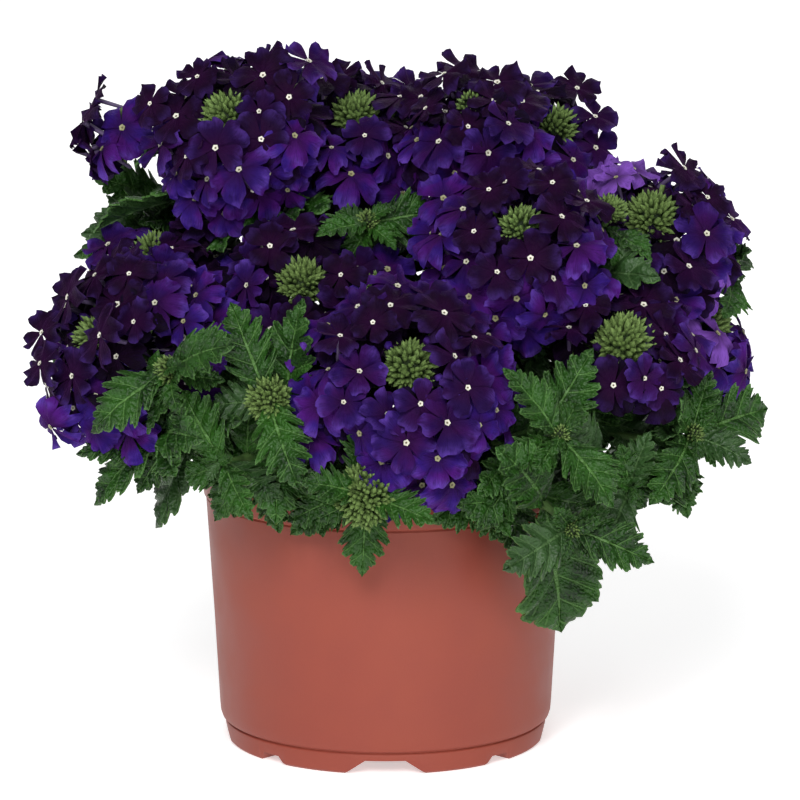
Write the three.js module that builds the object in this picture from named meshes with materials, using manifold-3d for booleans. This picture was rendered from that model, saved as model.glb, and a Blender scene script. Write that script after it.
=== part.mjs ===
// Garden verbena in bloom, in a round plastic nursery pot.
// Millimetres, +Z up, origin on the ground under the middle of the pot, the pot's axis along Z.
// Compass directions are degrees from -Y (the front) towards +X; heights of an axis are degrees above level.

import * as THREE from 'three';
import { mergeVertices } from 'three/addons/utils/BufferGeometryUtils.js';
import Module from 'manifold-3d';

const wasm = await Module();
wasm.setup();

// ---------------------------------------------------------------- driving dimensions

const RIM_RADIUS = 65;
const POT_HEIGHT = 99;
const FOOT_RADIUS = 56;
const FOOT_HEIGHT = 7.5;
const BAND_BOTTOM = 88;
const WALL = 1.4;
const FLOOR = 1.6;
const POT_SIDES = 30;
const SOIL_SIDES = 18;

const SOIL_EDGE = 91;
const SOIL_CROWN = 95;
const GAP = 0.35;

const STEM_RADIUS = 1.8;
const STEM_DEPTH_IN_SOIL = 12;
const BLADE_THICKNESS = 1.4;

// Flower heads. bud: where the middle of the green bud centre is; axis: [compass, height] that the dome
// faces; radius: of the dome; root: where the stem stands in the soil; leaves: as on the shoots below.
const HEADS = [
  { bud: [-56, -10, 226], axis: [-20, 42], radius: 29, root: [-17, -4], florets: 9, leaves: [[4, 40, 30]] },
  { bud: [-10, 18, 223], axis: [5, 54], radius: 28, root: [-5, 9], florets: 9, leaves: [[4, 30, 45]] },
  { bud: [61, 28, 216], axis: [18, 42], radius: 22, root: [19, 12], florets: 9, leaves: [] },
  { bud: [93, -10, 191], axis: [5, 46], radius: 30, root: [31, -2], florets: 9, leaves: [[4, 32, 45]] },
  { bud: [47, -50, 193], axis: [5, 42], radius: 32, root: [14, -14], florets: 9, leaves: [] },
  { bud: [83, -55, 155], axis: [20, 42], radius: 28, root: [30, -18], florets: 9, leaves: [[3, 36, 45]] },
  { bud: [9, -92, 153], axis: [8, 36], radius: 38, root: [4, -29], florets: 12, leaves: [[3, 36, 20]] },
  { bud: [-29, -45, 173], axis: [-10, 35], radius: 29, root: [-11, -17], florets: 9, leaves: [] },
  { bud: [-102, -50, 154], axis: [-50, 25], radius: 33, root: [-33, -14], florets: 9, leaves: [[3, 36, 45]] },
  { bud: [-83, 2, 176], axis: [-45, 60], radius: 30, root: [-30, 3], florets: 9, leaves: [[3, 36, 60]] },
  { bud: [-3, -50, 172], axis: [0, 60], radius: 12, root: [-2, -20], florets: 5, leaves: [] },
  { bud: [29, -5, 228], axis: [-10, 55], radius: 23, root: [7, -3], florets: 6, leaves: [] },
  { bud: [117, 5, 150], axis: [80, 35], radius: 30, root: [40, 4], florets: 8, leaves: [[3, 36, 45]] },
  {
    bud: [-103, 22, 216], axis: [-95, 20], radius: 14, root: [-24, 16], florets: 5,
    leaves: [[4, 50, 90], [3, 46, 30]],
  },
  { bud: [-32, 85, 204], axis: [200, 40], radius: 29, root: [-10, 25], florets: 7, leaves: [[4, 34, 45]] },
  { bud: [52, 92, 182], axis: [150, 40], radius: 30, root: [17, 28], florets: 7, leaves: [[4, 34, 45]] },
  { bud: [105, 62, 158], axis: [115, 40], radius: 28, root: [36, 20], florets: 7, leaves: [[4, 34, 45]] },
  { bud: [-85, 82, 150], axis: [220, 35], radius: 29, root: [-30, 30], florets: 7, leaves: [[4, 34, 45]] },
];

// Leafy shoots without open flowers. tip: where the unopened buds are; leaves: one line for each opposite
// pair from the tip down: stem joint, blade length, and turn round the stem from level.
const SHOOTS = [
  { tip: [-41, -85, 140], axis: [-20, 25], root: [-16, -32], leaves: [[5, 34, 120], [4, 42, 90], [3, 44, 55]] },
  { tip: [-6, -102, 110], axis: [0, 20], root: [-6, -38], leaves: [[5, 25, 165], [4, 35, 95], [3, 34, 20]] },
  { tip: [60, -88, 128], axis: [20, 30], root: [22, -32], leaves: [[5, 34, 112], [4, 38, 44], [3, 40, 170]] },
  { tip: [64, -92, 94], axis: [20, -10], root: [26, -42], leaves: [[5, 33, -14], [4, 48, 118]] },
  { tip: [108, -45, 119], axis: [40, 25], root: [40, -16], leaves: [[5, 36, 25], [4, 46, 150], [3, 44, 90]] },
  { tip: [-80, -58, 122], axis: [-50, 15], root: [-34, -26], leaves: [[5, 36, 20], [4, 44, 50], [3, 34, 100]] },
  { tip: [-57, -80, 115], axis: [-30, 5], root: [-26, -36], leaves: [[5, 28, 145], [4, 28, 60]] },
  { tip: [87, -62, 103], axis: [45, 5], root: [37, -30], leaves: [[5, 34, 20], [4, 42, 130]] },
  { tip: [-6, -25, 191], axis: [0, 50], root: [2, -11], leaves: [[5, 26, 20], [4, 30, 110]] },
  { tip: [124, 22, 166], axis: [75, 30], root: [44, 14], leaves: [[5, 30, 20], [4, 36, 110]] },
  { tip: [32, -72, 112], axis: [10, 15], root: [13, -38], leaves: [[5, 26, 110], [4, 34, 150]] },
  { tip: [-76, -73, 147], axis: [-50, 25], root: [-27, -27], leaves: [[5, 36, 30], [4, 38, 120]] },
  { tip: [-104, 44, 130], axis: [-115, 20], root: [-40, 24], leaves: [[5, 34, 30], [4, 42, 120], [3, 44, 30]] },
  { tip: [-40, 100, 118], axis: [200, 20], root: [-18, 38], leaves: [[5, 34, 45], [4, 42, 135], [3, 44, 45]] },
  { tip: [30, 104, 122], axis: [165, 20], root: [10, 40], leaves: [[5, 34, 20], [4, 42, 110], [3, 44, 20]] },
  { tip: [90, 80, 118], axis: [130, 20], root: [36, 34], leaves: [[5, 34, 60], [4, 42, 150], [3, 44, 60]] },
  { tip: [-78, 50, 184], axis: [-100, 40], root: [-26, 24], leaves: [[5, 36, 90], [4, 46, 20]] },
  { tip: [78, -25, 196], axis: [20, 60], root: [21, -7], leaves: [] },
];

// ---------------------------------------------------------------- solids

// A closed three.js geometry as a solid that can be joined and cut.
function solidOf(geometry) {
  const bare = geometry.clone();
  bare.deleteAttribute('normal');
  bare.deleteAttribute('uv');
  const merged = mergeVertices(bare, 1e-4);
  const vertProperties = Float32Array.from(merged.attributes.position.array);
  const triVerts = Uint32Array.from(merged.index.array);
  return new wasm.Manifold(new wasm.Mesh({ numProp: 3, vertProperties, triVerts }));
}

function geometryOf(solid) {
  const mesh = solid.getMesh();
  const geometry = new THREE.BufferGeometry();
  geometry.setAttribute('position', new THREE.BufferAttribute(mesh.vertProperties, 3));
  geometry.setIndex(new THREE.BufferAttribute(mesh.triVerts, 1));
  const flat = geometry.toNonIndexed();
  flat.computeVertexNormals();
  return flat;
}

// A closed solid from its corners and its triangles.
function faceted(corners, triangles) {
  const geometry = new THREE.BufferGeometry();
  const positions = corners.flatMap((corner) => corner.toArray());
  geometry.setAttribute('position', new THREE.Float32BufferAttribute(positions, 3));
  geometry.setIndex(triangles.flat());
  return solidOf(geometry);
}

function turned(profile, sides) {
  const points = profile.map(([radius, height]) => new THREE.Vector2(radius, height));
  const geometry = new THREE.LatheGeometry(points, sides);
  geometry.rotateX(Math.PI / 2);
  return geometry;
}

function direction([compass, height]) {
  const around = THREE.MathUtils.degToRad(compass);
  const above = THREE.MathUtils.degToRad(height);
  return new THREE.Vector3(
    Math.sin(around) * Math.cos(above),
    -Math.cos(around) * Math.cos(above),
    Math.sin(above),
  );
}

// Two directions square to an axis, the first one level.
function sideways(axis) {
  const level = new THREE.Vector3(0, 0, 1).cross(axis).normalize();
  return [level, axis.clone().cross(level)];
}

// A repeatable draw from 0 to 1 for one use of one repeat of one piece.
function draw(piece, repeat, use) {
  let mixed = Math.imul(piece + 1, 0x9e3779b1);
  mixed ^= Math.imul(repeat + 1, 0x85ebca6b) ^ Math.imul(use + 1, 0xc2b2ae35);
  mixed = Math.imul(mixed ^ (mixed >>> 15), 0x2c1b3c6d);
  mixed = Math.imul(mixed ^ (mixed >>> 12), 0x297a2d39);
  return ((mixed ^ (mixed >>> 15)) >>> 0) / 2 ** 32;
}

// The same draw, as a departure of up to range either way.
function spread(piece, repeat, use, range) {
  return (draw(piece, repeat, use) * 2 - 1) * range;
}

// ---------------------------------------------------------------- pot and soil

const CHANNELS = 8;
const CHANNEL_INNER_END = 24;
const WIDE_CHANNEL = { bottom: 28, top: 14, height: 5 };
const NARROW_CHANNEL = { bottom: 12, top: 7, height: 3 };
const DRAIN_WIDTH = 8;
const DRAIN_RADIUS = 42;

// A straight bar of trapezoid section that lies under the floor, pointing to one compass direction.
function floorBar(compass, size, margin, from, to) {
  const below = margin > 0 ? FLOOR / 2 : -1;
  const section = new THREE.Shape([
    new THREE.Vector2(-size.bottom / 2 - margin, below),
    new THREE.Vector2(size.bottom / 2 + margin, below),
    new THREE.Vector2(size.top / 2 + margin, size.height + margin),
    new THREE.Vector2(-size.top / 2 - margin, size.height + margin),
  ]);
  const bar = new THREE.ExtrudeGeometry(section, { depth: to - from, bevelEnabled: false });
  bar.rotateX(Math.PI / 2);
  bar.translate(0, -from, 0);
  bar.rotateZ(THREE.MathUtils.degToRad(compass));
  return solidOf(bar);
}

function floorChannels() {
  const channels = [];
  for (let i = 0; i < CHANNELS; i += 1) {
    channels.push({ compass: (i * 360) / CHANNELS, size: i % 2 === 0 ? WIDE_CHANNEL : NARROW_CHANNEL });
  }
  return channels;
}

function drainHole({ compass }) {
  const hole = new THREE.CylinderGeometry(DRAIN_WIDTH / 2, DRAIN_WIDTH / 2, 20, 8);
  hole.rotateX(Math.PI / 2);
  hole.translate(0, -DRAIN_RADIUS, 0);
  hole.rotateZ(THREE.MathUtils.degToRad(compass));
  return solidOf(hole);
}

// The wall runs from its rounded bottom edge up to the shallow groove under the rim band.
const WALL_BOTTOM = [FOOT_RADIUS + 2.6, FOOT_HEIGHT + 5];
const WALL_TOP = [RIM_RADIUS - 1.7, BAND_BOTTOM];
const RIM_ROUNDING = 0.6;

function makePot() {
  const outside = [
    [0, 0],
    [FOOT_RADIUS, 0],
    [FOOT_RADIUS + 0.5, FOOT_HEIGHT],
    [FOOT_RADIUS + 1.6, FOOT_HEIGHT + 1.4],
    WALL_BOTTOM,
    WALL_TOP,
    [RIM_RADIUS - 1.1, BAND_BOTTOM + 0.6],
    [RIM_RADIUS, POT_HEIGHT - RIM_ROUNDING],
    [RIM_RADIUS - RIM_ROUNDING, POT_HEIGHT],
  ];
  const inside = [
    [RIM_RADIUS - RIM_ROUNDING - WALL, POT_HEIGHT],
    [WALL_TOP[0] - WALL, BAND_BOTTOM],
    [WALL_BOTTOM[0] - WALL, WALL_BOTTOM[1]],
    [FOOT_RADIUS - WALL, FLOOR],
    [0, FLOOR],
  ];
  let pot = solidOf(turned([...outside, ...inside], POT_SIDES));
  const channels = floorChannels();
  for (const { compass, size } of channels) {
    pot = pot.add(floorBar(compass, size, WALL, CHANNEL_INNER_END - WALL, FOOT_RADIUS - WALL / 2));
  }
  for (const channel of channels) {
    pot = pot.subtract(floorBar(channel.compass, channel.size, 0, CHANNEL_INNER_END, RIM_RADIUS));
    if (channel.size === WIDE_CHANNEL) pot = pot.subtract(drainHole(channel));
  }
  return pot;
}

const STEM_FOOT = SOIL_EDGE - STEM_DEPTH_IN_SOIL;
const STEM_COLLAR = SOIL_CROWN + 1;
const SOIL_CLEARANCE = GAP + 0.3;

// A square hole that clears a stem's foot all round.
function stemHole([x, y]) {
  const reach = (STEM_RADIUS + GAP) * Math.SQRT2;
  const hole = new THREE.CylinderGeometry(reach, reach, POT_HEIGHT - STEM_FOOT + GAP, 4);
  hole.rotateX(Math.PI / 2);
  hole.translate(x, y, (POT_HEIGHT + STEM_FOOT - GAP) / 2);
  return solidOf(hole);
}

function makeSoil() {
  const overChannels = WIDE_CHANNEL.height + WALL + GAP;
  const insideChannels = CHANNEL_INNER_END - WALL - SOIL_CLEARANCE;
  let soil = solidOf(turned([
    [0, FLOOR + GAP],
    [insideChannels, FLOOR + GAP],
    [insideChannels, overChannels],
    [FOOT_RADIUS - WALL - SOIL_CLEARANCE, overChannels],
    [WALL_BOTTOM[0] - WALL - SOIL_CLEARANCE, WALL_BOTTOM[1]],
    [WALL_TOP[0] - WALL - SOIL_CLEARANCE, SOIL_EDGE],
    [0, SOIL_CROWN],
  ], SOIL_SIDES));
  for (const { root } of [...HEADS, ...SHOOTS]) {
    soil = soil.subtract(stemHole(root));
  }
  return soil;
}

// ---------------------------------------------------------------- stems

// A stem stands upright in the soil up to its collar, bends over to its end, and in a flower head goes
// straight on to the bud centre. Its joints are at equal steps of its parameter.
const BENT_STEPS = 4;
const UPRIGHT_PULL = 0.4;
const END_PULL = 0.3;

class StemCurve extends THREE.Curve {
  constructor(root, end, axis, top) {
    super();
    const collar = new THREE.Vector3(root[0], root[1], STEM_COLLAR);
    const length = collar.distanceTo(end);
    this.foot = new THREE.Vector3(root[0], root[1], STEM_FOOT);
    this.bend = new THREE.CubicBezierCurve3(
      collar,
      collar.clone().add(new THREE.Vector3(0, 0, length * UPRIGHT_PULL)),
      end.clone().addScaledVector(axis, -length * END_PULL),
      end,
    );
    this.top = top;
    this.steps = 1 + BENT_STEPS + (top ? 1 : 0);
  }

  getPoint(t, target = new THREE.Vector3()) {
    const joint = t * this.steps;
    if (joint <= 1) return target.lerpVectors(this.foot, this.bend.v0, joint);
    if (joint <= 1 + BENT_STEPS) return this.bend.getPoint((joint - 1) / BENT_STEPS, target);
    return target.lerpVectors(this.bend.v3, this.top, joint - 1 - BENT_STEPS);
  }

  // The joints stay at equal parameter steps, so that leaves can sit exactly on them.
  getUtoTmapping(u) {
    return u;
  }

  joint(index) {
    return this.bend.getPoint((index - 1) / BENT_STEPS);
  }

  directionAt(index) {
    return this.bend.getTangent((index - 1) / BENT_STEPS);
  }
}

function stemSolid(curve) {
  const corners = [0, 1, 2].map((k) => {
    const turn = (k * 2 * Math.PI) / 3;
    return new THREE.Vector2(Math.cos(turn), Math.sin(turn)).multiplyScalar(STEM_RADIUS);
  });
  const section = new THREE.Shape(corners);
  return solidOf(new THREE.ExtrudeGeometry(section, { steps: curve.steps, extrudePath: curve }));
}

// ---------------------------------------------------------------- leaves

// Half of a blade's cut edge from base to tip: how far along the blade, and how far out, in blade lengths.
const TEETH = [
  [0.26, 0.2],
  [0.33, 0.11],
  [0.5, 0.27],
  [0.56, 0.14],
  [0.76, 0.19],
];
const MIDRIB_MIDDLE = 0.45;

// One blade from its base: arched back by bend, its two halves lifted by fold.
function bladeSolid(base, along, upper, length, bend, fold) {
  const across = upper.clone().cross(along);
  const place = (s, out, height) => {
    const arch = bend * s;
    const forward = (length * Math.sin(arch)) / bend;
    const back = (length * (Math.cos(arch) - 1)) / bend;
    const lift = height + fold * Math.abs(out) * length;
    return base.clone()
      .addScaledVector(along, forward + lift * Math.sin(arch))
      .addScaledVector(upper, back + lift * Math.cos(arch))
      .addScaledVector(across, out * length);
  };
  const edge = [
    [0, 0],
    ...TEETH,
    [1, 0],
    ...TEETH.map(([s, out]) => [s, -out]).reverse(),
  ];
  const corners = [
    ...edge.map(([s, out]) => place(s, out, 0)),
    place(MIDRIB_MIDDLE, 0, BLADE_THICKNESS / 2),
    place(MIDRIB_MIDDLE, 0, -BLADE_THICKNESS / 2),
  ];
  const triangles = [];
  edge.forEach((_, i) => {
    const next = (i + 1) % edge.length;
    triangles.push([edge.length, next, i], [edge.length + 1, i, next]);
  });
  return faceted(corners, triangles);
}

// Ways to bend a leaf clear of its neighbours: more spread, more turn round the stem, and its length.
const BENT_CLEAR = [
  [0, 0, 1],
  [14, 0, 1],
  [-14, 0, 1],
  [0, 22, 1],
  [0, -22, 1],
  [14, 22, 1],
  [14, -22, 1],
  [-14, 22, 1],
  [-14, -22, 1],
  [28, 0, 0.9],
  [-28, 0, 0.9],
  [0, 40, 0.85],
  [0, -40, 0.85],
  [28, 30, 0.8],
  [28, -30, 0.8],
  [-28, 30, 0.8],
  [-28, -30, 0.8],
];
// How a blade stands: its lean from the stem at the topmost pair and for each pair below, in degrees;
// its arch over its length and the lift of its halves; how far it sags; how deep its root is sunk.
const TOP_PAIR_LEAN = 58;
const LEAN_PER_PAIR = 12;
const BLADE_BEND = 0.55;
const BLADE_FOLD = 0.3;
const SAG = 0.25;
const LEAF_ROOT_SINK = 1;

function leafSolid(stem, [joint, length, turnFromLevel], pair, side, [moreSpread, moreTurn, scale]) {
  const { piece, curve } = stem;
  const repeat = pair * 2 + side;
  const growing = curve.directionAt(joint);
  const [level, rising] = sideways(growing);
  const turn = THREE.MathUtils.degToRad(turnFromLevel + 180 * side + spread(piece, repeat, 0, 12) + moreTurn);
  const outward = level.clone().multiplyScalar(Math.cos(turn)).addScaledVector(rising, Math.sin(turn));
  const lean = THREE.MathUtils.degToRad(
    TOP_PAIR_LEAN + LEAN_PER_PAIR * pair + spread(piece, repeat, 1, 8) + moreSpread,
  );
  const along = growing.clone().multiplyScalar(Math.cos(lean)).addScaledVector(outward, Math.sin(lean));
  along.z -= SAG;
  along.normalize();
  const upper = growing.clone().addScaledVector(along, -growing.dot(along)).normalize();
  const bend = BLADE_BEND + spread(piece, repeat, 2, 0.25);
  const fold = BLADE_FOLD + spread(piece, repeat, 3, 0.12);
  const grown = length * scale * (1 + spread(piece, repeat, 4, 0.08));
  const base = curve.joint(joint).addScaledVector(along, -LEAF_ROOT_SINK);
  return bladeSolid(base, along, upper, grown, bend, fold);
}

// ---------------------------------------------------------------- buds

// A cluster of unopened buds at the end of a stem: a receptacle whose upper faces are each drawn out
// into one three-sided bud.
const RECEPTACLE = 0.62;
const RECEPTACLE_DEPTH = 0.7;

function budCluster(end, axis, radius, receptacle) {
  const middle = end.clone().addScaledVector(axis, -radius * RECEPTACLE_DEPTH);
  receptacle.scale(radius * RECEPTACLE, radius * RECEPTACLE, radius * RECEPTACLE);
  receptacle.applyQuaternion(new THREE.Quaternion().setFromUnitVectors(new THREE.Vector3(0, 0, 1), axis));
  const faces = receptacle.attributes.position;
  const corners = [];
  const triangles = [];
  for (let i = 0; i < faces.count; i += 3) {
    const [a, b, c] = [0, 1, 2].map((k) => new THREE.Vector3().fromBufferAttribute(faces, i + k));
    const outward = a.clone().add(b).add(c).normalize();
    const first = corners.length;
    corners.push(a, b, c);
    if (outward.dot(axis) > 0) {
      corners.push(outward.multiplyScalar(radius));
      const apex = first + 3;
      triangles.push([first, first + 1, apex], [first + 1, first + 2, apex], [first + 2, first, apex]);
    } else {
      triangles.push([first, first + 1, first + 2]);
    }
  }
  return faceted(corners.map((corner) => corner.add(middle)), triangles);
}

// ---------------------------------------------------------------- florets

const PETALS = 5;
const PETAL_HALF_ANGLE = 20;
const PETAL_GAP_REACH = 0.58;
const THROAT_DIP = 1.4;
const TUBE_RADIUS = 1.3;
const NECK_BELOW_THROAT = 1;

// One floret: a five-petalled limb on a three-sided tube whose point is sunk in the head's core.
function floretSolid(middle, facing, turn, radius, domeRadius, tubeEnd) {
  const [level, rising] = sideways(facing);
  const place = (angle, reach, height) => middle.clone()
    .addScaledVector(level, Math.cos(angle) * reach)
    .addScaledVector(rising, Math.sin(angle) * reach)
    .addScaledVector(facing, height);
  const corners = [];
  const petalAngle = (2 * Math.PI) / PETALS;
  const tipDrop = (radius * radius) / (2 * domeRadius);
  const half = THREE.MathUtils.degToRad(PETAL_HALF_ANGLE);
  for (let petal = 0; petal < PETALS; petal += 1) {
    const along = turn + petal * petalAngle;
    corners.push(place(along - half, radius, -tipDrop));
    corners.push(place(along + half, radius, -tipDrop));
    corners.push(place(along + petalAngle / 2, radius * PETAL_GAP_REACH, -tipDrop * 0.3));
  }
  const rim = corners.length;
  const throat = rim;
  corners.push(place(0, 0, -THROAT_DIP));
  const triangles = [];
  for (let i = 0; i < rim; i += 1) {
    triangles.push([throat, i, (i + 1) % rim]);
  }
  const neck = rim + 1;
  for (let k = 0; k < 3; k += 1) {
    corners.push(place(turn + (k + 0.5) * ((2 * Math.PI) / 3), TUBE_RADIUS, -THROAT_DIP - NECK_BELOW_THROAT));
  }
  corners.push(tubeEnd);
  const third = rim / 3;
  for (let i = 0; i < rim; i += 1) {
    triangles.push([neck + Math.floor(i / third), (i + 1) % rim, i]);
  }
  for (let k = 0; k < 3; k += 1) {
    const nextNeck = neck + ((k + 1) % 3);
    triangles.push([neck + k, nextNeck, ((k + 1) * third) % rim]);
    triangles.push([nextNeck, neck + k, neck + 3]);
  }
  return faceted(corners, triangles);
}

// ---------------------------------------------------------------- flower heads

// Shares of the dome's radius.
const BUD_HEIGHT = 0.8;
const BUD_SHARE = 0.45;
const CORE_BOTTOM = -0.4;
const CORE_RADIUS = 0.6;
const CORE_END_RADIUS = 0.42;
const TUBE_END_RADIUS = 0.33;
const TUBE_END_SINK = 0.12;
const CORE_SIDES = 6;
const RACHIS_HOLE = 3;
const RACHIS_BELOW_CORE = 2;
const BUD_CLUSTER_RADIUS = 10;

// Where a head's dome has its middle, its core's top and the lower end of its rachis.
function headPlan({ bud, axis, radius }) {
  const facing = direction(axis);
  const top = new THREE.Vector3(...bud);
  const centre = top.clone().addScaledVector(facing, -BUD_HEIGHT * radius);
  const budRadius = Math.min(BUD_CLUSTER_RADIUS, radius * BUD_SHARE);
  const coreTop = BUD_HEIGHT * radius - 1.7 * budRadius;
  const coreBottom = CORE_BOTTOM * radius;
  const rachisFoot = centre.clone().addScaledVector(facing, coreBottom - RACHIS_BELOW_CORE);
  return { facing, top, centre, budRadius, coreTop, coreBottom, rachisFoot };
}

function coreSolid({ radius }, { facing, centre, coreTop, coreBottom }) {
  const ring = turned([
    [RACHIS_HOLE, coreTop],
    [RACHIS_HOLE, coreBottom],
    [CORE_END_RADIUS * radius, coreBottom],
    [CORE_RADIUS * radius, (coreBottom + coreTop) / 2],
    [CORE_END_RADIUS * radius, coreTop],
    [RACHIS_HOLE, coreTop],
  ], CORE_SIDES);
  ring.applyQuaternion(new THREE.Quaternion().setFromUnitVectors(new THREE.Vector3(0, 0, 1), facing));
  ring.translate(centre.x, centre.y, centre.z);
  return solidOf(ring);
}

// Ways to keep a floret clear of its neighbours: its size, and how far it is drawn in, in dome radii.
const DRAWN_IN = [
  [1, 0],
  [0.9, 0.04],
  [0.8, 0],
  [0.8, 0.1],
  [0.65, 0.05],
];

// Two rings of florets, staggered, round the bud centre. Neighbours lie in different layers.
const UPPER_RING = { share: 0.46, lean: 54, reach: 1 };
const LOWER_RING = { lean: 94, reach: 0.88 };
const LAYERS = 3;
const LAYER_STEP = 1.3;
const FLORET_COVER = 1.36;

function floretPlaces(piece, { radius, florets }, { facing, centre, coreTop, coreBottom }) {
  const [level, rising] = sideways(facing);
  const upperCount = Math.floor(florets * UPPER_RING.share);
  const places = [];
  for (let i = 0; i < florets; i += 1) {
    const isUpper = i < upperCount;
    const ring = isUpper ? UPPER_RING : LOWER_RING;
    const inRing = isUpper ? i : i - upperCount;
    const count = isUpper ? upperCount : florets - upperCount;
    const turn = ((inRing + (isUpper ? 0 : 0.5) + spread(piece, i, 0, 0.12)) * 2 * Math.PI) / count;
    const lean = THREE.MathUtils.degToRad(ring.lean + spread(piece, i, 1, 5));
    const outward = level.clone().multiplyScalar(Math.cos(turn)).addScaledVector(rising, Math.sin(turn));
    const normal = facing.clone().multiplyScalar(Math.cos(lean)).addScaledVector(outward, Math.sin(lean));
    const tubeEnd = centre.clone()
      .addScaledVector(outward, TUBE_END_RADIUS * radius)
      .addScaledVector(facing, isUpper ? coreTop - TUBE_END_SINK * radius : (coreTop + coreBottom) / 2);
    const reach = radius * ring.reach - LAYER_STEP * (inRing % LAYERS);
    places.push({ normal, reach, tubeEnd, turn: draw(piece, i, 2) * 2 * Math.PI });
  }
  return places;
}

// ---------------------------------------------------------------- keeping pieces clear of each other

const placed = [];

function boxesMeet(a, b) {
  return [0, 1, 2].every((i) => a.min[i] - GAP <= b.max[i] && b.min[i] - GAP <= a.max[i]);
}

// The first placed solid of another piece, or of another leaf pair of the same piece, that is too near.
function neighbourMet(solid, owner, pair) {
  const box = solid.boundingBox();
  return placed.find((other) => (other.owner !== owner || (other.pair ?? pair) !== pair)
    && boxesMeet(box, other.box)
    && solid.minGap(other.solid, GAP) < GAP - 0.01);
}

function keep(solid, owner, pair) {
  placed.push({ solid, owner, pair, box: solid.boundingBox() });
  return solid;
}

function keepClear(solid, owner) {
  const met = neighbourMet(solid, owner);
  if (met) throw new Error(`${owner} runs into ${met.owner}`);
  return keep(solid, owner);
}

// One solid from pieces that grow from each other, without scraps and sealed hollows.
function fused(pieces) {
  const whole = pieces.reduce((joined, piece) => joined.add(piece));
  return whole.decompose().reduce((most, body) => (body.volume() > most.volume() ? body : most));
}

function placeFlorets(head, piece, core, owner) {
  const plan = headPlan(head);
  const limb = (FLORET_COVER * head.radius) / Math.sqrt(head.florets);
  const pieces = [core];
  floretPlaces(piece, head, plan).forEach(({ normal, reach, tubeEnd, turn }) => {
    for (const [size, drawnIn] of DRAWN_IN) {
      const middle = plan.centre.clone().addScaledVector(normal, reach - drawnIn * head.radius);
      const floret = floretSolid(middle, normal, turn, size * limb, head.radius, tubeEnd);
      if (!neighbourMet(floret, owner)) {
        pieces.push(keep(floret, owner));
        return;
      }
    }
  });
  return fused(pieces);
}

function placeLeaves(stem) {
  const leaves = [];
  stem.leaves.forEach((leaf, pair) => {
    for (const side of [0, 1]) {
      for (const bent of BENT_CLEAR) {
        const blade = leafSolid(stem, leaf, pair, side, bent);
        if (!neighbourMet(blade, stem.owner, pair)) {
          leaves.push(keep(blade, stem.owner, pair));
          break;
        }
      }
    }
  });
  return leaves;
}

// ---------------------------------------------------------------- the part

const SHOOT_BUD_RADIUS = 7;
const STEM_END_IN_BUDS = 0.7;

const POT_FINISH = { color: 0xa8554a, roughness: 0.5, metalness: 0 };
const SOIL_FINISH = { color: 0x2a2018, roughness: 1, metalness: 0 };
const GREEN_FINISH = { color: 0x3b6b2e, roughness: 0.7, metalness: 0 };
const PETAL_FINISH = { color: 0x3a1878, roughness: 0.8, metalness: 0 };

const verbena = new THREE.Group();

function addPiece(name, solid, finish) {
  const mesh = new THREE.Mesh(geometryOf(solid), new THREE.MeshStandardMaterial(finish));
  mesh.name = name;
  verbena.add(mesh);
}

function numbered(name, index) {
  return `${name}_${String(index + 1).padStart(2, '0')}`;
}

addPiece('pot', keep(makePot(), 'pot'), POT_FINISH);
addPiece('soil', keep(makeSoil(), 'soil'), SOIL_FINISH);

const floweringStems = HEADS.map((head, index) => {
  const { facing, top, rachisFoot, budRadius } = headPlan(head);
  const owner = numbered('flowering_stem', index);
  const rachisTop = top.clone().addScaledVector(facing, -budRadius * STEM_END_IN_BUDS);
  const curve = new StemCurve(head.root, rachisFoot, facing, rachisTop);
  const body = [stemSolid(curve), budCluster(top, facing, budRadius, new THREE.IcosahedronGeometry())];
  body.forEach((solid) => keepClear(solid, owner));
  return { piece: index, owner, curve, leaves: head.leaves, body };
});

const leafyShoots = SHOOTS.map((shoot, index) => {
  const axis = direction(shoot.axis);
  const tip = new THREE.Vector3(...shoot.tip);
  const owner = numbered('leafy_shoot', index);
  const end = tip.clone().addScaledVector(axis, -SHOOT_BUD_RADIUS * STEM_END_IN_BUDS);
  const curve = new StemCurve(shoot.root, end, axis);
  const body = [stemSolid(curve), budCluster(tip, axis, SHOOT_BUD_RADIUS, new THREE.OctahedronGeometry())];
  body.forEach((solid) => keepClear(solid, owner));
  return { piece: HEADS.length + index, owner, curve, leaves: shoot.leaves, body };
});

// Every core stands before the first floret, so that florets are drawn in where heads crowd each other.
const cores = HEADS.map((head, index) => {
  const core = coreSolid(head, headPlan(head));
  return keepClear(core, numbered('florets', index));
});
HEADS.forEach((head, index) => {
  const name = numbered('florets', index);
  addPiece(name, placeFlorets(head, index, cores[index], name), PETAL_FINISH);
});

for (const stem of [...leafyShoots, ...floweringStems]) {
  addPiece(stem.owner, fused([...stem.body, ...placeLeaves(stem)]), GREEN_FINISH);
}

export default verbena;
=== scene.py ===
# A garden verbena in bloom in its round nursery pot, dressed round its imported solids.
# Metres, +Z up, the pot's axis along Z and the front towards -Y. Sizes are given in millimetres times MM.

import math
from collections import namedtuple

import bmesh
import bpy
from mathutils import Matrix, Vector, noise
from mathutils.kdtree import KDTree


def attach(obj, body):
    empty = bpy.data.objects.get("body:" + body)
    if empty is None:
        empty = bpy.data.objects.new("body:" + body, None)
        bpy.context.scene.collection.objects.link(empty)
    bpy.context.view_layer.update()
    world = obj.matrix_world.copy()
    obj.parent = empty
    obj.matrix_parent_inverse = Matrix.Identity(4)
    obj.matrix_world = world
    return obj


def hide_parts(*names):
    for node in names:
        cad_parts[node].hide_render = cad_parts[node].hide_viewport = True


MM = 0.001

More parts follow.
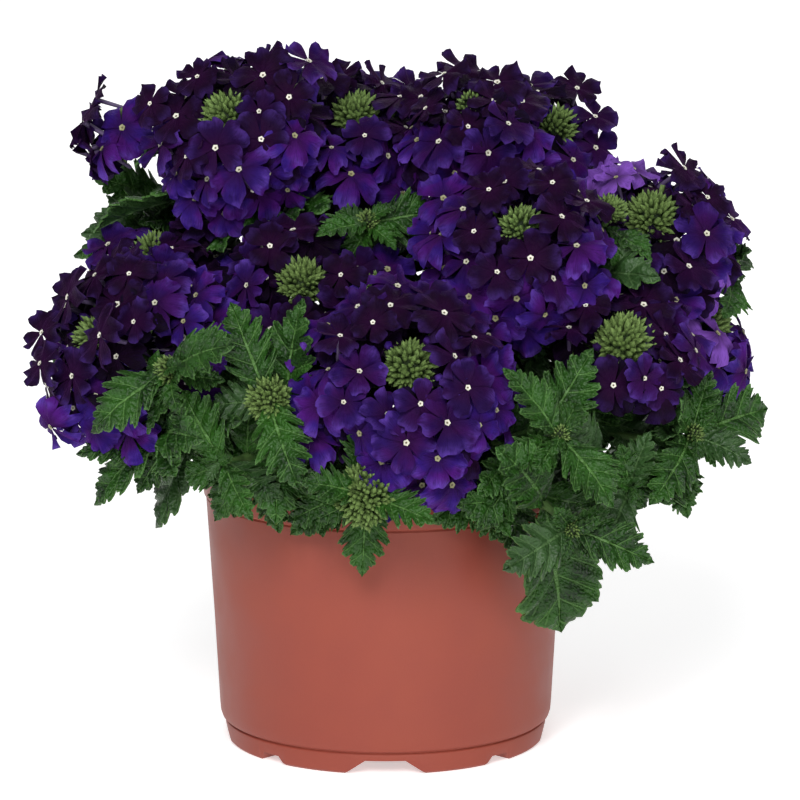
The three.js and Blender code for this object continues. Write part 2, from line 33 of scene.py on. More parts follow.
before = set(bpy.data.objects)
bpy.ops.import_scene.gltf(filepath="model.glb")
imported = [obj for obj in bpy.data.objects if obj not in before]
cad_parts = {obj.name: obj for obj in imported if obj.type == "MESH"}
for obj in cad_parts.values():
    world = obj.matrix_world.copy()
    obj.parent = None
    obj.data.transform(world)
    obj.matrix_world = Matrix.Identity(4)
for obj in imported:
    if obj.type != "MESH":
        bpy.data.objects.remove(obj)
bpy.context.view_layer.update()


# ---- Camera, floor and light ----
# A long lens stands a little above the flowers. The floor is a wide matt white sheet, lit by a pale
# surrounding, one large soft lamp high on the left, a weaker one on the right and a strip behind.

CAMERA_TARGET = Vector((5.1, 0, 120.8)) * MM
CAMERA_DISTANCE = 2.0
CAMERA_ELEVATION = math.radians(11.5)
SENSOR = 36
LENS = 256.5
SURROUNDING_LIGHT = 0.29

camera = bpy.data.objects.new("camera", bpy.data.cameras.new("camera"))
camera.data.sensor_width = SENSOR
camera.data.lens = LENS
camera.data.clip_end = 50
towards_camera = Vector((0, -math.cos(CAMERA_ELEVATION), math.sin(CAMERA_ELEVATION)))
camera.location = CAMERA_TARGET + towards_camera * CAMERA_DISTANCE
camera.rotation_euler = towards_camera.to_track_quat("Z", "Y").to_euler()
bpy.context.scene.collection.objects.link(camera)
bpy.context.scene.camera = camera
bpy.context.scene.view_settings.view_transform = "Standard"


def colour(code):
    """A hexadecimal screen colour as the linear colour that shaders work in."""
    screen = [int(code[i : i + 2], 16) / 255 for i in (0, 2, 4)]
    linear = [c / 12.92 if c <= 0.04045 else ((c + 0.055) / 1.055) ** 2.4 for c in screen]
    return (*linear, 1.0)


def soft_lamp(name, place, side, watts):
    """A square lamp that faces the middle of the plant."""
    lamp = bpy.data.objects.new(name, bpy.data.lights.new(name, "AREA"))
    lamp.data.size = side
    lamp.data.energy = watts
    lamp.location = place
    lamp.rotation_euler = (Vector(place) - CAMERA_TARGET).to_track_quat("Z", "Y").to_euler()
    bpy.context.scene.collection.objects.link(lamp)


soft_lamp("key_lamp", (-0.35, -2.3, 1.7), 1.0, 56)
soft_lamp("fill_lamp", (0.9, -2.4, 0.6), 0.9, 12)
soft_lamp("back_lamp", (0.3, 1.8, 1.6), 1.2, 14)

world = bpy.data.worlds.new("surroundings")
bpy.context.scene.world = world
world.use_nodes = True
world.node_tree.nodes["Background"].inputs["Color"].default_value = (1, 1, 1, 1)
world.node_tree.nodes["Background"].inputs["Strength"].default_value = SURROUNDING_LIGHT


class Link:
    """An output of a finish's node. Arithmetic on it adds Math nodes."""

    def __init__(self, finish, socket):
        self.finish = finish
        self.socket = socket

    def math(self, operation, *values):
        return self.finish.node("ShaderNodeMath", {"operation": operation}, dict(enumerate(values)))

    def __add__(self, other):
        return self.math("ADD", self, other)

    def __sub__(self, other):
        return self.math("SUBTRACT", self, other)

    def __rsub__(self, other):
        return self.math("SUBTRACT", other, self)

    def __mul__(self, other):
        return self.math("MULTIPLY", self, other)

    def __abs__(self):
        return self.math("ABSOLUTE", self)

    __radd__ = __add__
    __rmul__ = __mul__


class Finish:
    """A material under construction: its Principled shader and the nodes that feed it."""

    def __init__(self, name, **constants):
        self.material = bpy.data.materials.new(name)
        self.material.use_nodes = True
        self.tree = self.material.node_tree
        self.shader = self.tree.nodes["Principled BSDF"]
        for socket, value in constants.items():
            self.shader.inputs[socket.replace("_", " ")].default_value = value

    def node(self, kind, settings, inputs, output=0):
        made = self.tree.nodes.new(kind)
        for setting, value in settings.items():
            setattr(made, setting, value)
        for socket, value in inputs.items():
            self.feed(made.inputs[socket], value)
        return Link(self, made.outputs[output])

    def feed(self, socket, value):
        if isinstance(value, Link):
            self.tree.links.new(value.socket, socket)
        else:
            socket.default_value = value

    def paint(self, **feeds):
        for socket, value in feeds.items():
            self.feed(self.shader.inputs[socket.replace("_", " ")], value)

    def place(self):
        return self.node("ShaderNodeTexCoord", {}, {}, "Object")

    def noise(self, grain, detail, vector=None):
        """Cloudy noise whose patches are about grain metres across."""
        inputs = {"Vector": vector or self.place(), "Scale": 1 / grain, "Detail": detail}
        return self.node("ShaderNodeTexNoise", {}, inputs)

    def cells(self, grain):
        """Rounded cells about grain metres across: the distance from each one's middle."""
        inputs = {"Vector": self.place(), "Scale": 1 / grain}
        return self.node("ShaderNodeTexVoronoi", {"feature": "SMOOTH_F1"}, inputs, "Distance")

    def step(self, value, low, high, start=0.0, end=1.0):
        """Goes smoothly from start to end as value goes from low to high."""
        inputs = {"Value": value, "From Min": low, "From Max": high, "To Min": start, "To Max": end}
        return self.node("ShaderNodeMapRange", {"interpolation_type": "SMOOTHSTEP"}, inputs)

    def mix(self, factor, a, b):
        return self.node("ShaderNodeMix", {"data_type": "RGBA"}, {0: factor, 6: a, 7: b}, 2)

    def bump(self, height, distance, strength=1.0):
        inputs = {"Height": height, "Distance": distance, "Strength": strength}
        self.paint(Normal=self.node("ShaderNodeBump", {}, inputs))


FLOOR_HALF = 14
floor_bm = bmesh.new()
bmesh.ops.create_grid(floor_bm, x_segments=1, y_segments=1, size=FLOOR_HALF)
floor = bpy.data.objects.new("floor", bpy.data.meshes.new("floor"))
floor_bm.to_mesh(floor.data)
floor_bm.free()
bpy.context.scene.collection.objects.link(floor)
floor_finish = Finish(
    "floor_white", Base_Color=(0.93, 0.93, 0.93, 1), Roughness=0.9,
    Emission_Color=(1, 1, 1, 1), Emission_Strength=0.5,
)
floor.data.materials.append(floor_finish.material)


# ---- Pot ----
# A tapered nursery pot, injection moulded in matt terracotta-coloured plastic: a plain wall under a
# slightly wider rim band, on a set-in foot that is notched by drainage channels across its underside.

POT_RIM_RADIUS = 65 * MM
POT_FOOT = [(0, 0), (55.2, 0), (56, 0.8), (56.8, 6.7), (56.7, 7.1), (56.1, 7.5), (56.8, 7.9)]
POT_WALL = [(57.9, 8.7), (58.4, 10.2), (58.65, 13), (60.4, 45), (63.15, 87.2), (62.75, 87.8)]
POT_RIM_BAND = [(63.9, 88.6), (64.85, 98.1), (64.6, 98.8), (64.1, 99), (63.5, 98.8), (63.1, 98.2)]
POT_INSIDE = [(61.8, 86), (55.4, 8.6), (54.6, 8), (0, 8)]
POT_STEPS = 180
POT_EDGE_ROUNDING = 0.45 * MM
CHANNEL_START = 24 * MM
WIDE_CHANNEL = (28 * MM, 14 * MM, 5 * MM)
NARROW_CHANNEL = (12 * MM, 7 * MM, 3 * MM)
DRAIN_PLACE = 42 * MM
DRAIN_RADIUS = 4 * MM
DRAIN_STEPS = 24
DRAIN_CUTTER_LENGTH = 40 * MM
BODY = "root"


def add_piece(name, bm, finishes, replaced=(), smooth_below=math.radians(40)):
    """A finished piece from its bmesh: in the scene, painted, riding on the plant's one body."""
    mesh = bpy.data.meshes.new(name)
    bm.to_mesh(mesh)
    bm.free()
    for finish in finishes:
        mesh.materials.append(finish.material)
    mesh.shade_smooth()
    mesh.set_sharp_from_angle(angle=smooth_below)
    piece = bpy.data.objects.new(name, mesh)
    bpy.context.scene.collection.objects.link(piece)
    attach(piece, BODY)
    if replaced:
        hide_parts(*replaced)
    return piece


def lathe(bm, outline, steps):
    """Turns an outline of (radius, height) in millimetres once round Z."""
    verts = [bm.verts.new(Vector((radius, 0, height)) * MM) for radius, height in outline]
    edges = [bm.edges.new(pair) for pair in zip(verts, verts[1:])]
    bmesh.ops.spin(
        bm, geom=verts + edges, cent=(0, 0, 0), axis=(0, 0, 1), dvec=(0, 0, 0),
        angle=2 * math.pi, steps=steps, use_merge=True, use_duplicate=False,
    )
    bmesh.ops.remove_doubles(bm, verts=bm.verts, dist=1e-6)
    bmesh.ops.recalc_face_normals(bm, faces=bm.faces)


def channel_cutter(size, first_turn):
    """Four bars of trapezoid section, a quarter turn apart, each as a channel under the pot is cut."""
    bottom, top, height = size
    cutter = bmesh.new()
    for quarter in range(4):
        made = bmesh.ops.create_cube(cutter, size=1)["verts"]
        for vert in made:
            is_top = vert.co.z > 0
            reach = POT_RIM_RADIUS if vert.co.y < 0 else CHANNEL_START
            half = (top if is_top else bottom) / 2
            vert.co = Vector((math.copysign(half, vert.co.x), -reach, height if is_top else -height))
        for vert in made:
            if vert.co.z < 0:
                vert.co.x *= 1 + (bottom - top) / bottom
        turn = Matrix.Rotation(first_turn + quarter * math.pi / 2, 4, "Z")
        bmesh.ops.transform(cutter, matrix=turn, verts=made)
    return cutter


def drain_cutter():
    """Four round bars, a quarter turn apart, each as a drain hole is wide."""
    cutter = bmesh.new()
    for quarter in range(4):
        turn = Matrix.Rotation(quarter * math.pi / 2, 4, "Z")
        bmesh.ops.create_cone(
            cutter, cap_ends=True, segments=DRAIN_STEPS, radius1=DRAIN_RADIUS, radius2=DRAIN_RADIUS,
            depth=DRAIN_CUTTER_LENGTH, matrix=turn @ Matrix.Translation((0, -DRAIN_PLACE, 0)),
        )
    return cutter


def cut(bm, cutters):
    """The solid in bm less its cutters, with its sharp edges rounded, as a new bmesh."""
    body = bpy.data.objects.new("uncut", bpy.data.meshes.new("uncut"))
    bm.to_mesh(body.data)
    bm.free()
    bpy.context.scene.collection.objects.link(body)
    tools = []
    for cutter in cutters:
        bmesh.ops.recalc_face_normals(cutter, faces=cutter.faces)
        tool = bpy.data.objects.new("cutter", bpy.data.meshes.new("cutter"))
        cutter.to_mesh(tool.data)
        cutter.free()
        bpy.context.scene.collection.objects.link(tool)
        modifier = body.modifiers.new("cut", "BOOLEAN")
        modifier.object = tool
        tools.append(tool)
    edge = body.modifiers.new("soft_edge", "BEVEL")
    edge.width = POT_EDGE_ROUNDING
    edge.segments = 2
    edge.angle_limit = math.radians(38)
    result = bmesh.new()
    result.from_object(body, bpy.context.evaluated_depsgraph_get())
    for spent in (body, *tools):
        bpy.data.objects.remove(spent)
    return result


pot_bm = bmesh.new()
lathe(pot_bm, POT_FOOT + POT_WALL + POT_RIM_BAND + POT_INSIDE, POT_STEPS)
cutters = [channel_cutter(WIDE_CHANNEL, 0), channel_cutter(NARROW_CHANNEL, math.pi / 4), drain_cutter()]
pot_bm = cut(pot_bm, cutters)

pot_finish = Finish("terracotta_plastic", Roughness=0.46, Specular_IOR_Level=0.3)
mottling = pot_finish.noise(18 * MM, 3)
grain = pot_finish.noise(0.9 * MM, 2)
pot_colour = pot_finish.mix(pot_finish.step(mottling, 0.3, 0.7), colour("8a4033"), colour("8e4334"))
pot_colour = pot_finish.mix(pot_finish.step(grain, 0.35, 0.75) * 0.35, pot_colour, colour("8f4135"))
pot_finish.paint(Base_Color=pot_colour, Roughness=pot_finish.step(mottling, 0.2, 0.8, 0.42, 0.56))
pot_finish.bump(pot_finish.noise(0.6 * MM, 3), 0.05 * MM, 0.6)
add_piece("pot_moulding", pot_bm, [pot_finish], ["pot"], math.radians(30))


# ---- Soil ----
# Dark peaty potting compost, filled to a few millimetres under the rim: one crumbly mass, with loose
# crumbs on it.

SOIL_EDGE_RADIUS = 61.3 * MM
SOIL_EDGE_HEIGHT = 91 * MM
SOIL_CROWN_HEIGHT = 95 * MM
SOIL_UNDER_SURFACE = [(0, 9), (54.5, 9), (61.0, 80)]
SOIL_RINGS = 44
SOIL_STEPS = 160
SOIL_LUMPS = [(7 * MM, 1.3), (2.6 * MM, 0.8)]
SOIL_DRAWS = 90
CRUMBS = 420
CRUMB_EDGE_ROOM = 2 * MM


def draw(piece, repeat, use):
    """A repeatable draw from 0 to 1 for one use of one repeat of one piece."""
    limit = 0xFFFFFFFF
    mixed = (piece + 1) * 0x9E3779B1 & limit
    mixed ^= (repeat + 1) * 0x85EBCA6B & limit
    mixed ^= (use + 1) * 0xC2B2AE35 & limit
    mixed = (mixed ^ mixed >> 15) * 0x2C1B3C6D & limit
    mixed = (mixed ^ mixed >> 12) * 0x297A2D39 & limit
    return (mixed ^ mixed >> 15) / 2**32


def spread(piece, repeat, use, reach):
    """The same draw, as a departure of up to reach either way."""
    return (draw(piece, repeat, use) * 2 - 1) * reach


def soil_height(x, y):
    """The rough surface of the compost over a point: a low crown under lumps of two sizes."""
    share = min(1, math.hypot(x, y) / SOIL_EDGE_RADIUS)
    level = SOIL_CROWN_HEIGHT + (SOIL_EDGE_HEIGHT - SOIL_CROWN_HEIGHT) * share
    place = Vector((x, y, 0))
    lumps = sum(noise.noise(place / grain) * height for grain, height in SOIL_LUMPS)
    return level + lumps * MM


soil_bm = bmesh.new()
rings = range(SOIL_RINGS, -1, -1)
flat_surface = [(SOIL_EDGE_RADIUS / MM * ring / SOIL_RINGS, SOIL_CROWN_HEIGHT / MM) for ring in rings]
lathe(soil_bm, SOIL_UNDER_SURFACE + flat_surface, SOIL_STEPS)
for vert in soil_bm.verts:
    if vert.co.z > SOIL_EDGE_HEIGHT:
        vert.co.z = soil_height(vert.co.x, vert.co.y)
for crumb in range(CRUMBS):
    around = draw(SOIL_DRAWS, crumb, 0) * 2 * math.pi
    out = math.sqrt(draw(SOIL_DRAWS, crumb, 1)) * (SOIL_EDGE_RADIUS - CRUMB_EDGE_ROOM)
    x, y = out * math.cos(around), out * math.sin(around)
    size = (0.7 + 1.1 * draw(SOIL_DRAWS, crumb, 2) ** 2) * MM
    place = Matrix.Translation((x, y, soil_height(x, y) + size * 0.3))
    tilt = Matrix.Rotation(draw(SOIL_DRAWS, crumb, 3) * 3, 4, "X")
    turn = Matrix.Rotation(draw(SOIL_DRAWS, crumb, 4) * 3, 4, "Z")
    flatten = Matrix.Diagonal((1, 0.6 + 1.2 * draw(SOIL_DRAWS, crumb, 5), 0.5, 1))
    bmesh.ops.create_icosphere(soil_bm, subdivisions=1, radius=size, matrix=place @ tilt @ turn @ flatten)

soil_finish = Finish("peat", Roughness=0.95, Specular_IOR_Level=0.2)
soil_patches = soil_finish.step(soil_finish.noise(3 * MM, 4), 0.3, 0.7)
soil_finish.paint(Base_Color=soil_finish.mix(soil_patches, colour("17120f"), colour("3a2c22")))
soil_finish.bump(soil_finish.noise(0.9 * MM, 4), 0.5 * MM)
add_piece("compost", soil_bm, [soil_finish], ["soil"])


# ---- Stems with their leaves and buds ----
# Soft, finely hairy green growth, in one piece from the compost up: eighteen flower stalks and eighteen
# leafy shoots. Leaves stand in opposite pairs, their edges cut into rounded lobes and their veins sunk
# in a puckered blade. Green pointed buds crowd in a dome at the tip of each.

# A head has the place of its top bud, the way it faces, its dome's radius, its root in the compost, its
# stem's leaf pairs as (joint, length, turn), its age, its dome's edge in degrees and its buds' radius. A
# shoot ends in a tuft of buds of its own radius, over pairs of young leaves. Lengths are in millimetres.
Head = namedtuple("Head", "bud axis radius root leaves age edge buds")
Shoot = namedtuple("Shoot", "tip axis root leaves buds young")
# Leaves that the solids don't have: the joint that each springs from, and where its tip is.
ADDED_LEAVES = {
    "flowering_stem_01": [(4.1, (-62, -6, 190)), (3.7, (-48, -16, 186))],
    "flowering_stem_04": [(2.6, (70, -8, 153)), (2.9, (44, -14, 158)), (2.3, (66, -12, 126))],
    "flowering_stem_06": [(3.5, (100, -20, 109)), (3.2, (92, -10, 122)), (3.8, (108, -16, 132))],
    "flowering_stem_09": [(2.6, (-84, -34, 116)), (3, (-80, -40, 132))],
    "flowering_stem_12": [(3.4, (-12, -8, 184)), (3.2, (-4, 4, 178))],
    "leafy_shoot_05": [
        (5, (92, -50, 134)), (5, (112, -40, 140)), (4.5, (95, -54, 118)), (4.3, (104, -52, 90)),
        (5, (126, -46, 108)),
    ],
    "leafy_shoot_06": [(4.6, (-85, -54, 99)), (4.8, (-106, -50, 112))],
    "leafy_shoot_08": [
        (5, (90, -64, 123)), (5, (80, -66, 119)), (4.7, (99, -52, 108)), (4.6, (92, -56, 112)),
    ],
    "leafy_shoot_10": [(4.9, (128, 8, 173))],
    "leafy_shoot_17": [
        (5, (-104, 40, 194)), (5, (-99, 38, 183)), (4.6, (-111, 35, 166)), (4.4, (-108, 30, 175)),
        (4.6, (-87, 26, 180)), (5, (-65, 25, 191)), (5, (-53, 15, 189)),
    ],
    "leafy_shoot_18": [(3.7, (94, -40, 172)), (3.4, (70, -48, 160))],
}
HEADS = [
    Head((-56, -10, 226), (-20, 42), 29, (-17, -4), [(4, 40, 30)], -0.05, 100, 9.8),
    Head((-10, 18, 223), (5, 54), 28, (-5, 9), [(4, 30, 45)], -0.1, 92, 9.4),
    Head((61, 28, 216), (18, 42), 22, (19, 12), [], -0.3, 108, 8.4),
    Head((93, -10, 191), (5, 46), 30, (31, -2), [(4, 32, 45)], -0.35, 100, 9.8),
    Head((47, -50, 193), (5, 42), 32, (14, -14), [], 0.1, 112, 8.4),
    Head((83, -55, 155), (20, 42), 28, (30, -18), [(3, 36, 45)], -0.15, 74, 11.2),
    Head((9, -92, 153), (8, 36), 38, (4, -29), [(3, 36, 20)], 0.45, 112, 9.8),
    Head((-29, -45, 173), (-10, 35), 29, (-11, -17), [], -0.2, 112, 9.4),
    Head((-102, -50, 154), (-50, 25), 33, (-33, -14), [(3, 36, 45)], 0.15, 104, 8.6),
    Head((-83, 2, 176), (-45, 60), 30, (-30, 3), [(3, 36, 60)], 0.1, 112, 8.6),
    Head((-3, -50, 172), (0, 60), 12, (-2, -20), [], -0.2, 100, 6.0),
    Head((29, -5, 228), (-10, 55), 23, (7, -3), [], -0.4, 112, 5.2),
    Head((117, 5, 150), (80, 35), 30, (40, 4), [(3, 36, 45)], 1.0, 112, 9.0),
    Head((-103, 22, 216), (-95, 20), 14, (-24, 16), [(4, 50, 90), (3, 46, 30)], 0.1, 95, 0),
    Head((-32, 85, 204), (200, 40), 29, (-10, 25), [(4, 34, 45)], 0.3, 112, 9.8),
    Head((52, 92, 182), (150, 40), 30, (17, 28), [(4, 34, 45)], 0.9, 112, 9.8),
    Head((105, 62, 158), (115, 40), 28, (36, 20), [(4, 34, 45)], 0.2, 112, 9.8),
    Head((-85, 82, 150), (220, 35), 29, (-30, 30), [(4, 34, 45)], 0.3, 112, 9.8),
]
SHOOTS = [
    Shoot((-41, -85, 140), (-20, 25), (-16, -32), [(5, 34, 120), (4, 42, 90), (3, 44, 55)], 8.5, 0),
    Shoot((-6, -102, 110), (0, 20), (-6, -38), [(5, 25, 165), (4, 35, 95), (3, 34, 20)], 11.5, 0),
    Shoot((60, -88, 128), (20, 30), (22, -32), [(5, 34, 112), (4, 38, 44), (3, 40, 170)], 3.6, 3),
    Shoot((64, -92, 94), (20, -10), (26, -42), [(5, 33, -14), (4, 48, 118)], 3.6, 3),
    Shoot((108, -45, 119), (40, 25), (40, -16), [(5, 36, 25), (4, 46, 150), (3, 44, 90)], 4, 3),
    Shoot((-80, -58, 122), (-50, 15), (-34, -26), [(5, 36, 20), (4, 44, 50), (3, 34, 100)], 4, 2),
    Shoot((-57, -80, 115), (-30, 5), (-26, -36), [(5, 28, 145), (4, 28, 60)], 0, 2),
    Shoot((87, -62, 103), (45, 5), (37, -30), [(5, 34, 20), (4, 42, 130)], 0, 2),
    Shoot((-6, -25, 191), (0, 50), (2, -11), [(5, 26, 20), (4, 30, 110)], 4.5, 3),
    Shoot((124, 22, 166), (75, 30), (44, 14), [(5, 30, 20), (4, 36, 110)], 4.5, 3),
    Shoot((32, -72, 112), (10, 15), (13, -38), [(5, 26, 110), (4, 34, 150)], 0, 2),
    Shoot((-76, -73, 147), (-50, 25), (-27, -27), [(5, 36, 30), (4, 38, 120)], 5.5, 2),
    Shoot((-104, 44, 130), (-115, 20), (-40, 24), [(5, 34, 30), (4, 42, 120), (3, 44, 30)], 5, 3),
    Shoot((-40, 100, 118), (200, 20), (-18, 38), [(5, 34, 45), (4, 42, 135), (3, 44, 45)], 6, 2),
    Shoot((30, 104, 122), (165, 20), (10, 40), [(5, 34, 20), (4, 42, 110), (3, 44, 20)], 5, 3),
    Shoot((90, 80, 118), (130, 20), (36, 34), [(5, 34, 60), (4, 42, 150), (3, 44, 60)], 5, 3),
    Shoot((-78, 50, 184), (-100, 40), (-26, 24), [(5, 36, 90), (4, 46, 20)], 4, 3),
    Shoot((78, -25, 196), (20, 60), (21, -7), [], 6.5, 0),
]
# Leaves that grow longer or shorter than in the solids, by stem, pair and side.
REACH = {
    ("leafy_shoot_04", 1, 0): 0.75,
    ("leafy_shoot_04", 1, 1): 1.12,
    ("leafy_shoot_06", 0, 1): 1.12,
    ("leafy_shoot_12", 0, 1): 1.3,
}
BROAD_LEAF = ("leafy_shoot_04", 1, 1)
STEM_COLLAR = 96 * MM
STEM_SINK = 10 * MM
UPRIGHT_PULL = 0.4
END_PULL = 0.3
BENT_STEPS = 4
STEM_STEPS = 24
STEM_SIDES = 8
STEM_BASE_RADIUS = 1.8 * MM
STEM_TIP_RADIUS = 1.1 * MM
JOINT_SWELLING = 0.6 * MM
JOINT_SPAN = 0.08
BUD_HEIGHT = 0.8
CORE_BOTTOM = -0.4
RACHIS_BELOW_CORE = 2
RACHIS_BELOW_BUDS = 6 * MM
SHOOT_STEM_END = 4.9 * MM


def direction(compass, height):
    """The way that a head or a shoot faces: degrees round from the front, and degrees above level."""
    around, above = math.radians(compass), math.radians(height)
    level = math.cos(above)
    return Vector((math.sin(around) * level, -math.cos(around) * level, math.sin(above)))


def sideways(axis):
    """Two directions square to an axis, the first one level."""
    level = Vector((0, 0, 1)).cross(axis).normalized()
    return level, axis.cross(level)


class Stem:
    """One stem's line from joint 1 to joint 5: a Bezier curve of its collar, two pulls and its end."""

    def __init__(self, piece, node, root, end, axis, leaves):
        self.piece, self.node, self.end, self.axis, self.leaves = piece, node, end, axis, leaves
        collar = Vector((root[0] * MM, root[1] * MM, STEM_COLLAR))
        length = (end - collar).length
        rising = collar + Vector((0, 0, length * UPRIGHT_PULL))
        self.bend = [collar, rising, end - axis * (length * END_PULL), end]

    def joint(self, index):
        a, b, c, d = self.bend
        t = (index - 1) / BENT_STEPS
        u = 1 - t
        return a * u**3 + b * (3 * u * u * t) + c * (3 * u * t * t) + d * t**3

    def direction_at(self, index):
        a, b, c, d = self.bend
        t = (index - 1) / BENT_STEPS
        u = 1 - t
        return ((b - a) * (u * u) + (c - b) * (2 * u * t) + (d - c) * (t * t)).normalized()


def head_middle(head):
    """The middle of a head's dome."""
    return Vector(head.bud) * MM - direction(*head.axis) * (BUD_HEIGHT * head.radius * MM)


stems = []
for index, head in enumerate(HEADS):
    facing = direction(*head.axis)
    rachis_foot = head_middle(head) + facing * (CORE_BOTTOM * head.radius - RACHIS_BELOW_CORE) * MM
    stems.append(Stem(index, f"flowering_stem_{index + 1:02d}", head.root, rachis_foot, facing, head.leaves))
for index, shoot in enumerate(SHOOTS):
    facing = direction(*shoot.axis)
    end = Vector(shoot.tip) * MM - facing * SHOOT_STEM_END
    piece = len(HEADS) + index
    stems.append(Stem(piece, f"leafy_shoot_{index + 1:02d}", shoot.root, end, facing, shoot.leaves))


def add_tube(bm, points, radii, sides):
    """A closed tube through points, each ring square to the way it runs."""
    before = points[1] - points[0]
    place = Matrix.Translation(points[0]) @ before.to_track_quat("Z", "X").to_matrix().to_4x4()
    ring = bmesh.ops.create_circle(bm, cap_ends=False, segments=sides, radius=radii[0], matrix=place)["verts"]
    edges = list({edge for vert in ring for edge in vert.link_edges})
    bmesh.ops.contextual_create(bm, geom=edges)
    for index in range(1, len(points)):
        after = points[min(index + 1, len(points) - 1)] - points[index - 1]
        grown = bmesh.ops.extrude_edge_only(bm, edges=edges)["geom"]
        ring = [part for part in grown if isinstance(part, bmesh.types.BMVert)]
        edges = [part for part in grown if isinstance(part, bmesh.types.BMEdge)]
        bend = before.rotation_difference(after).to_matrix().to_4x4()
        scale = Matrix.Scale(radii[index] / radii[index - 1], 4)
        move = Matrix.Translation(points[index]) @ bend @ scale @ Matrix.Translation(-points[index - 1])
        bmesh.ops.transform(bm, matrix=move, verts=ring)
        before = after
    bmesh.ops.contextual_create(bm, geom=edges)


def stem_radius(along, stem):
    """Thinner towards the tip, thicker at the joints where leaves stand."""
    radius = STEM_BASE_RADIUS + (STEM_TIP_RADIUS - STEM_BASE_RADIUS) * along
    for joint, _, _ in stem.leaves:
        away = abs(along * BENT_STEPS + 1 - joint)
        radius += JOINT_SWELLING * math.exp(-((away / JOINT_SPAN) ** 2))
    return radius


def add_stalk(bm, stem):
    """The stem itself, from inside the compost to inside its buds."""
    foot = stem.joint(1) - Vector((0, 0, STEM_SINK))
    path = [foot] + [stem.joint(1 + BENT_STEPS * step / STEM_STEPS) for step in range(STEM_STEPS + 1)]
    radii = [STEM_BASE_RADIUS] + [stem_radius(step / STEM_STEPS, stem) for step in range(STEM_STEPS + 1)]
    if stem.piece < len(HEADS):
        path.append(Vector(HEADS[stem.piece].bud) * MM - stem.axis * RACHIS_BELOW_BUDS)
        radii.append(STEM_TIP_RADIUS)
    add_tube(bm, path, radii, STEM_SIDES)
    bmesh.ops.recalc_face_normals(bm, faces=bm.faces)


# The ways in which a leaf is bent clear, in turn: more lean, more turn, and its share of its length.
BENT_CLEAR = [
    (0, 0, 1), (14, 0, 1), (-14, 0, 1), (0, 22, 1), (0, -22, 1),
    (14, 22, 1), (14, -22, 1), (-14, 22, 1), (-14, -22, 1),
    (28, 0, 0.9), (-28, 0, 0.9), (0, 40, 0.85), (0, -40, 0.85),
    (28, 30, 0.8), (28, -30, 0.8), (-28, 30, 0.8), (-28, -30, 0.8),
]
TOP_PAIR_LEAN = 58
LEAN_PER_PAIR = 12
LEAN_SPREAD = 8
TURN_SPREAD = 12
LENGTH_SPREAD = 0.08
BLADE_BEND = 0.55
BEND_SPREAD = 0.25
BLADE_FOLD = 0.3
FOLD_SPREAD = 0.12
SAG = 0.25
LEAF_ROOT_SINK = 1 * MM
WIDEST_TEETH = (0.5, 0.27)
CORNER_MATCH = 0.05 * MM


class Blade:
    """Where one blade stands: its base, the way it grows, the way its upper side faces, and its form."""

    def __init__(self, base, along, upper, length, bend, fold):
        self.base, self.along, self.upper = base, along, upper
        self.length, self.bend, self.fold = length, bend, fold
        self.across = upper.cross(along)

    def point(self, s, out, height, twist=0.0):
        """A point of the blade: s along it and out across it in blade lengths, height in metres."""
        arch = self.bend * s
        forward = self.length * math.sin(arch) / self.bend
        back = self.length * (math.cos(arch) - 1) / self.bend
        lift = height + (self.fold * abs(out) + twist * out * s) * self.length
        return (
            self.base
            + self.along * (forward + lift * math.sin(arch))
            + self.upper * (back + lift * math.cos(arch))
            + self.across * (out * self.length)
        )


def leaning_blade(base, growing, turn, lean, length, bend, fold):
    """A blade that springs from a point of a stem, turned round it from level and leaned away from it."""
    level, rising = sideways(growing)
    outward = level * math.cos(turn) + rising * math.sin(turn)
    along = growing * math.cos(lean) + outward * math.sin(lean)
    along.z -= SAG
    along.normalize()
    upper = (growing - along * growing.dot(along)).normalized()
    return Blade(base - along * LEAF_ROOT_SINK, along, upper, length, bend, fold)


def standing_blade(stem, leaf, pair, side, bent):
    """The blade of one leaf of a pair, turned, leaned and shortened by one way of keeping clear."""
    joint, length, turn_from_level = leaf
    more_spread, more_turn, scale = bent
    repeat = pair * 2 + side
    turn = turn_from_level + 180 * side + spread(stem.piece, repeat, 0, TURN_SPREAD) + more_turn
    lean = TOP_PAIR_LEAN + LEAN_PER_PAIR * pair + spread(stem.piece, repeat, 1, LEAN_SPREAD) + more_spread
    bend = BLADE_BEND + spread(stem.piece, repeat, 2, BEND_SPREAD)
    fold = BLADE_FOLD + spread(stem.piece, repeat, 3, FOLD_SPREAD)
    grown = length * MM * scale * (1 + spread(stem.piece, repeat, 4, LENGTH_SPREAD))
    return leaning_blade(
        stem.joint(joint), stem.direction_at(joint), math.radians(turn), math.radians(lean), grown, bend, fold
    )


def corners_of(node):
    """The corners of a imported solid, for finding which way its leaves were bent clear."""
    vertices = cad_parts[node].data.vertices
    tree = KDTree(len(vertices))
    for index, vertex in enumerate(vertices):
        tree.insert(vertex.co, index)
    tree.balance()
    return tree


def leaf_in_solid(corners, stem, leaf, pair, side):
    """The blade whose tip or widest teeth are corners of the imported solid, or None if there is none."""
    along, out = WIDEST_TEETH
    for bent in BENT_CLEAR:
        blade = standing_blade(stem, leaf, pair, side, bent)
        marks = [blade.point(1, 0, 0), blade.point(along, out, 0), blade.point(along, -out, 0)]
        if any(corners.find(mark)[2] < CORNER_MATCH for mark in marks):
            return blade
    return None


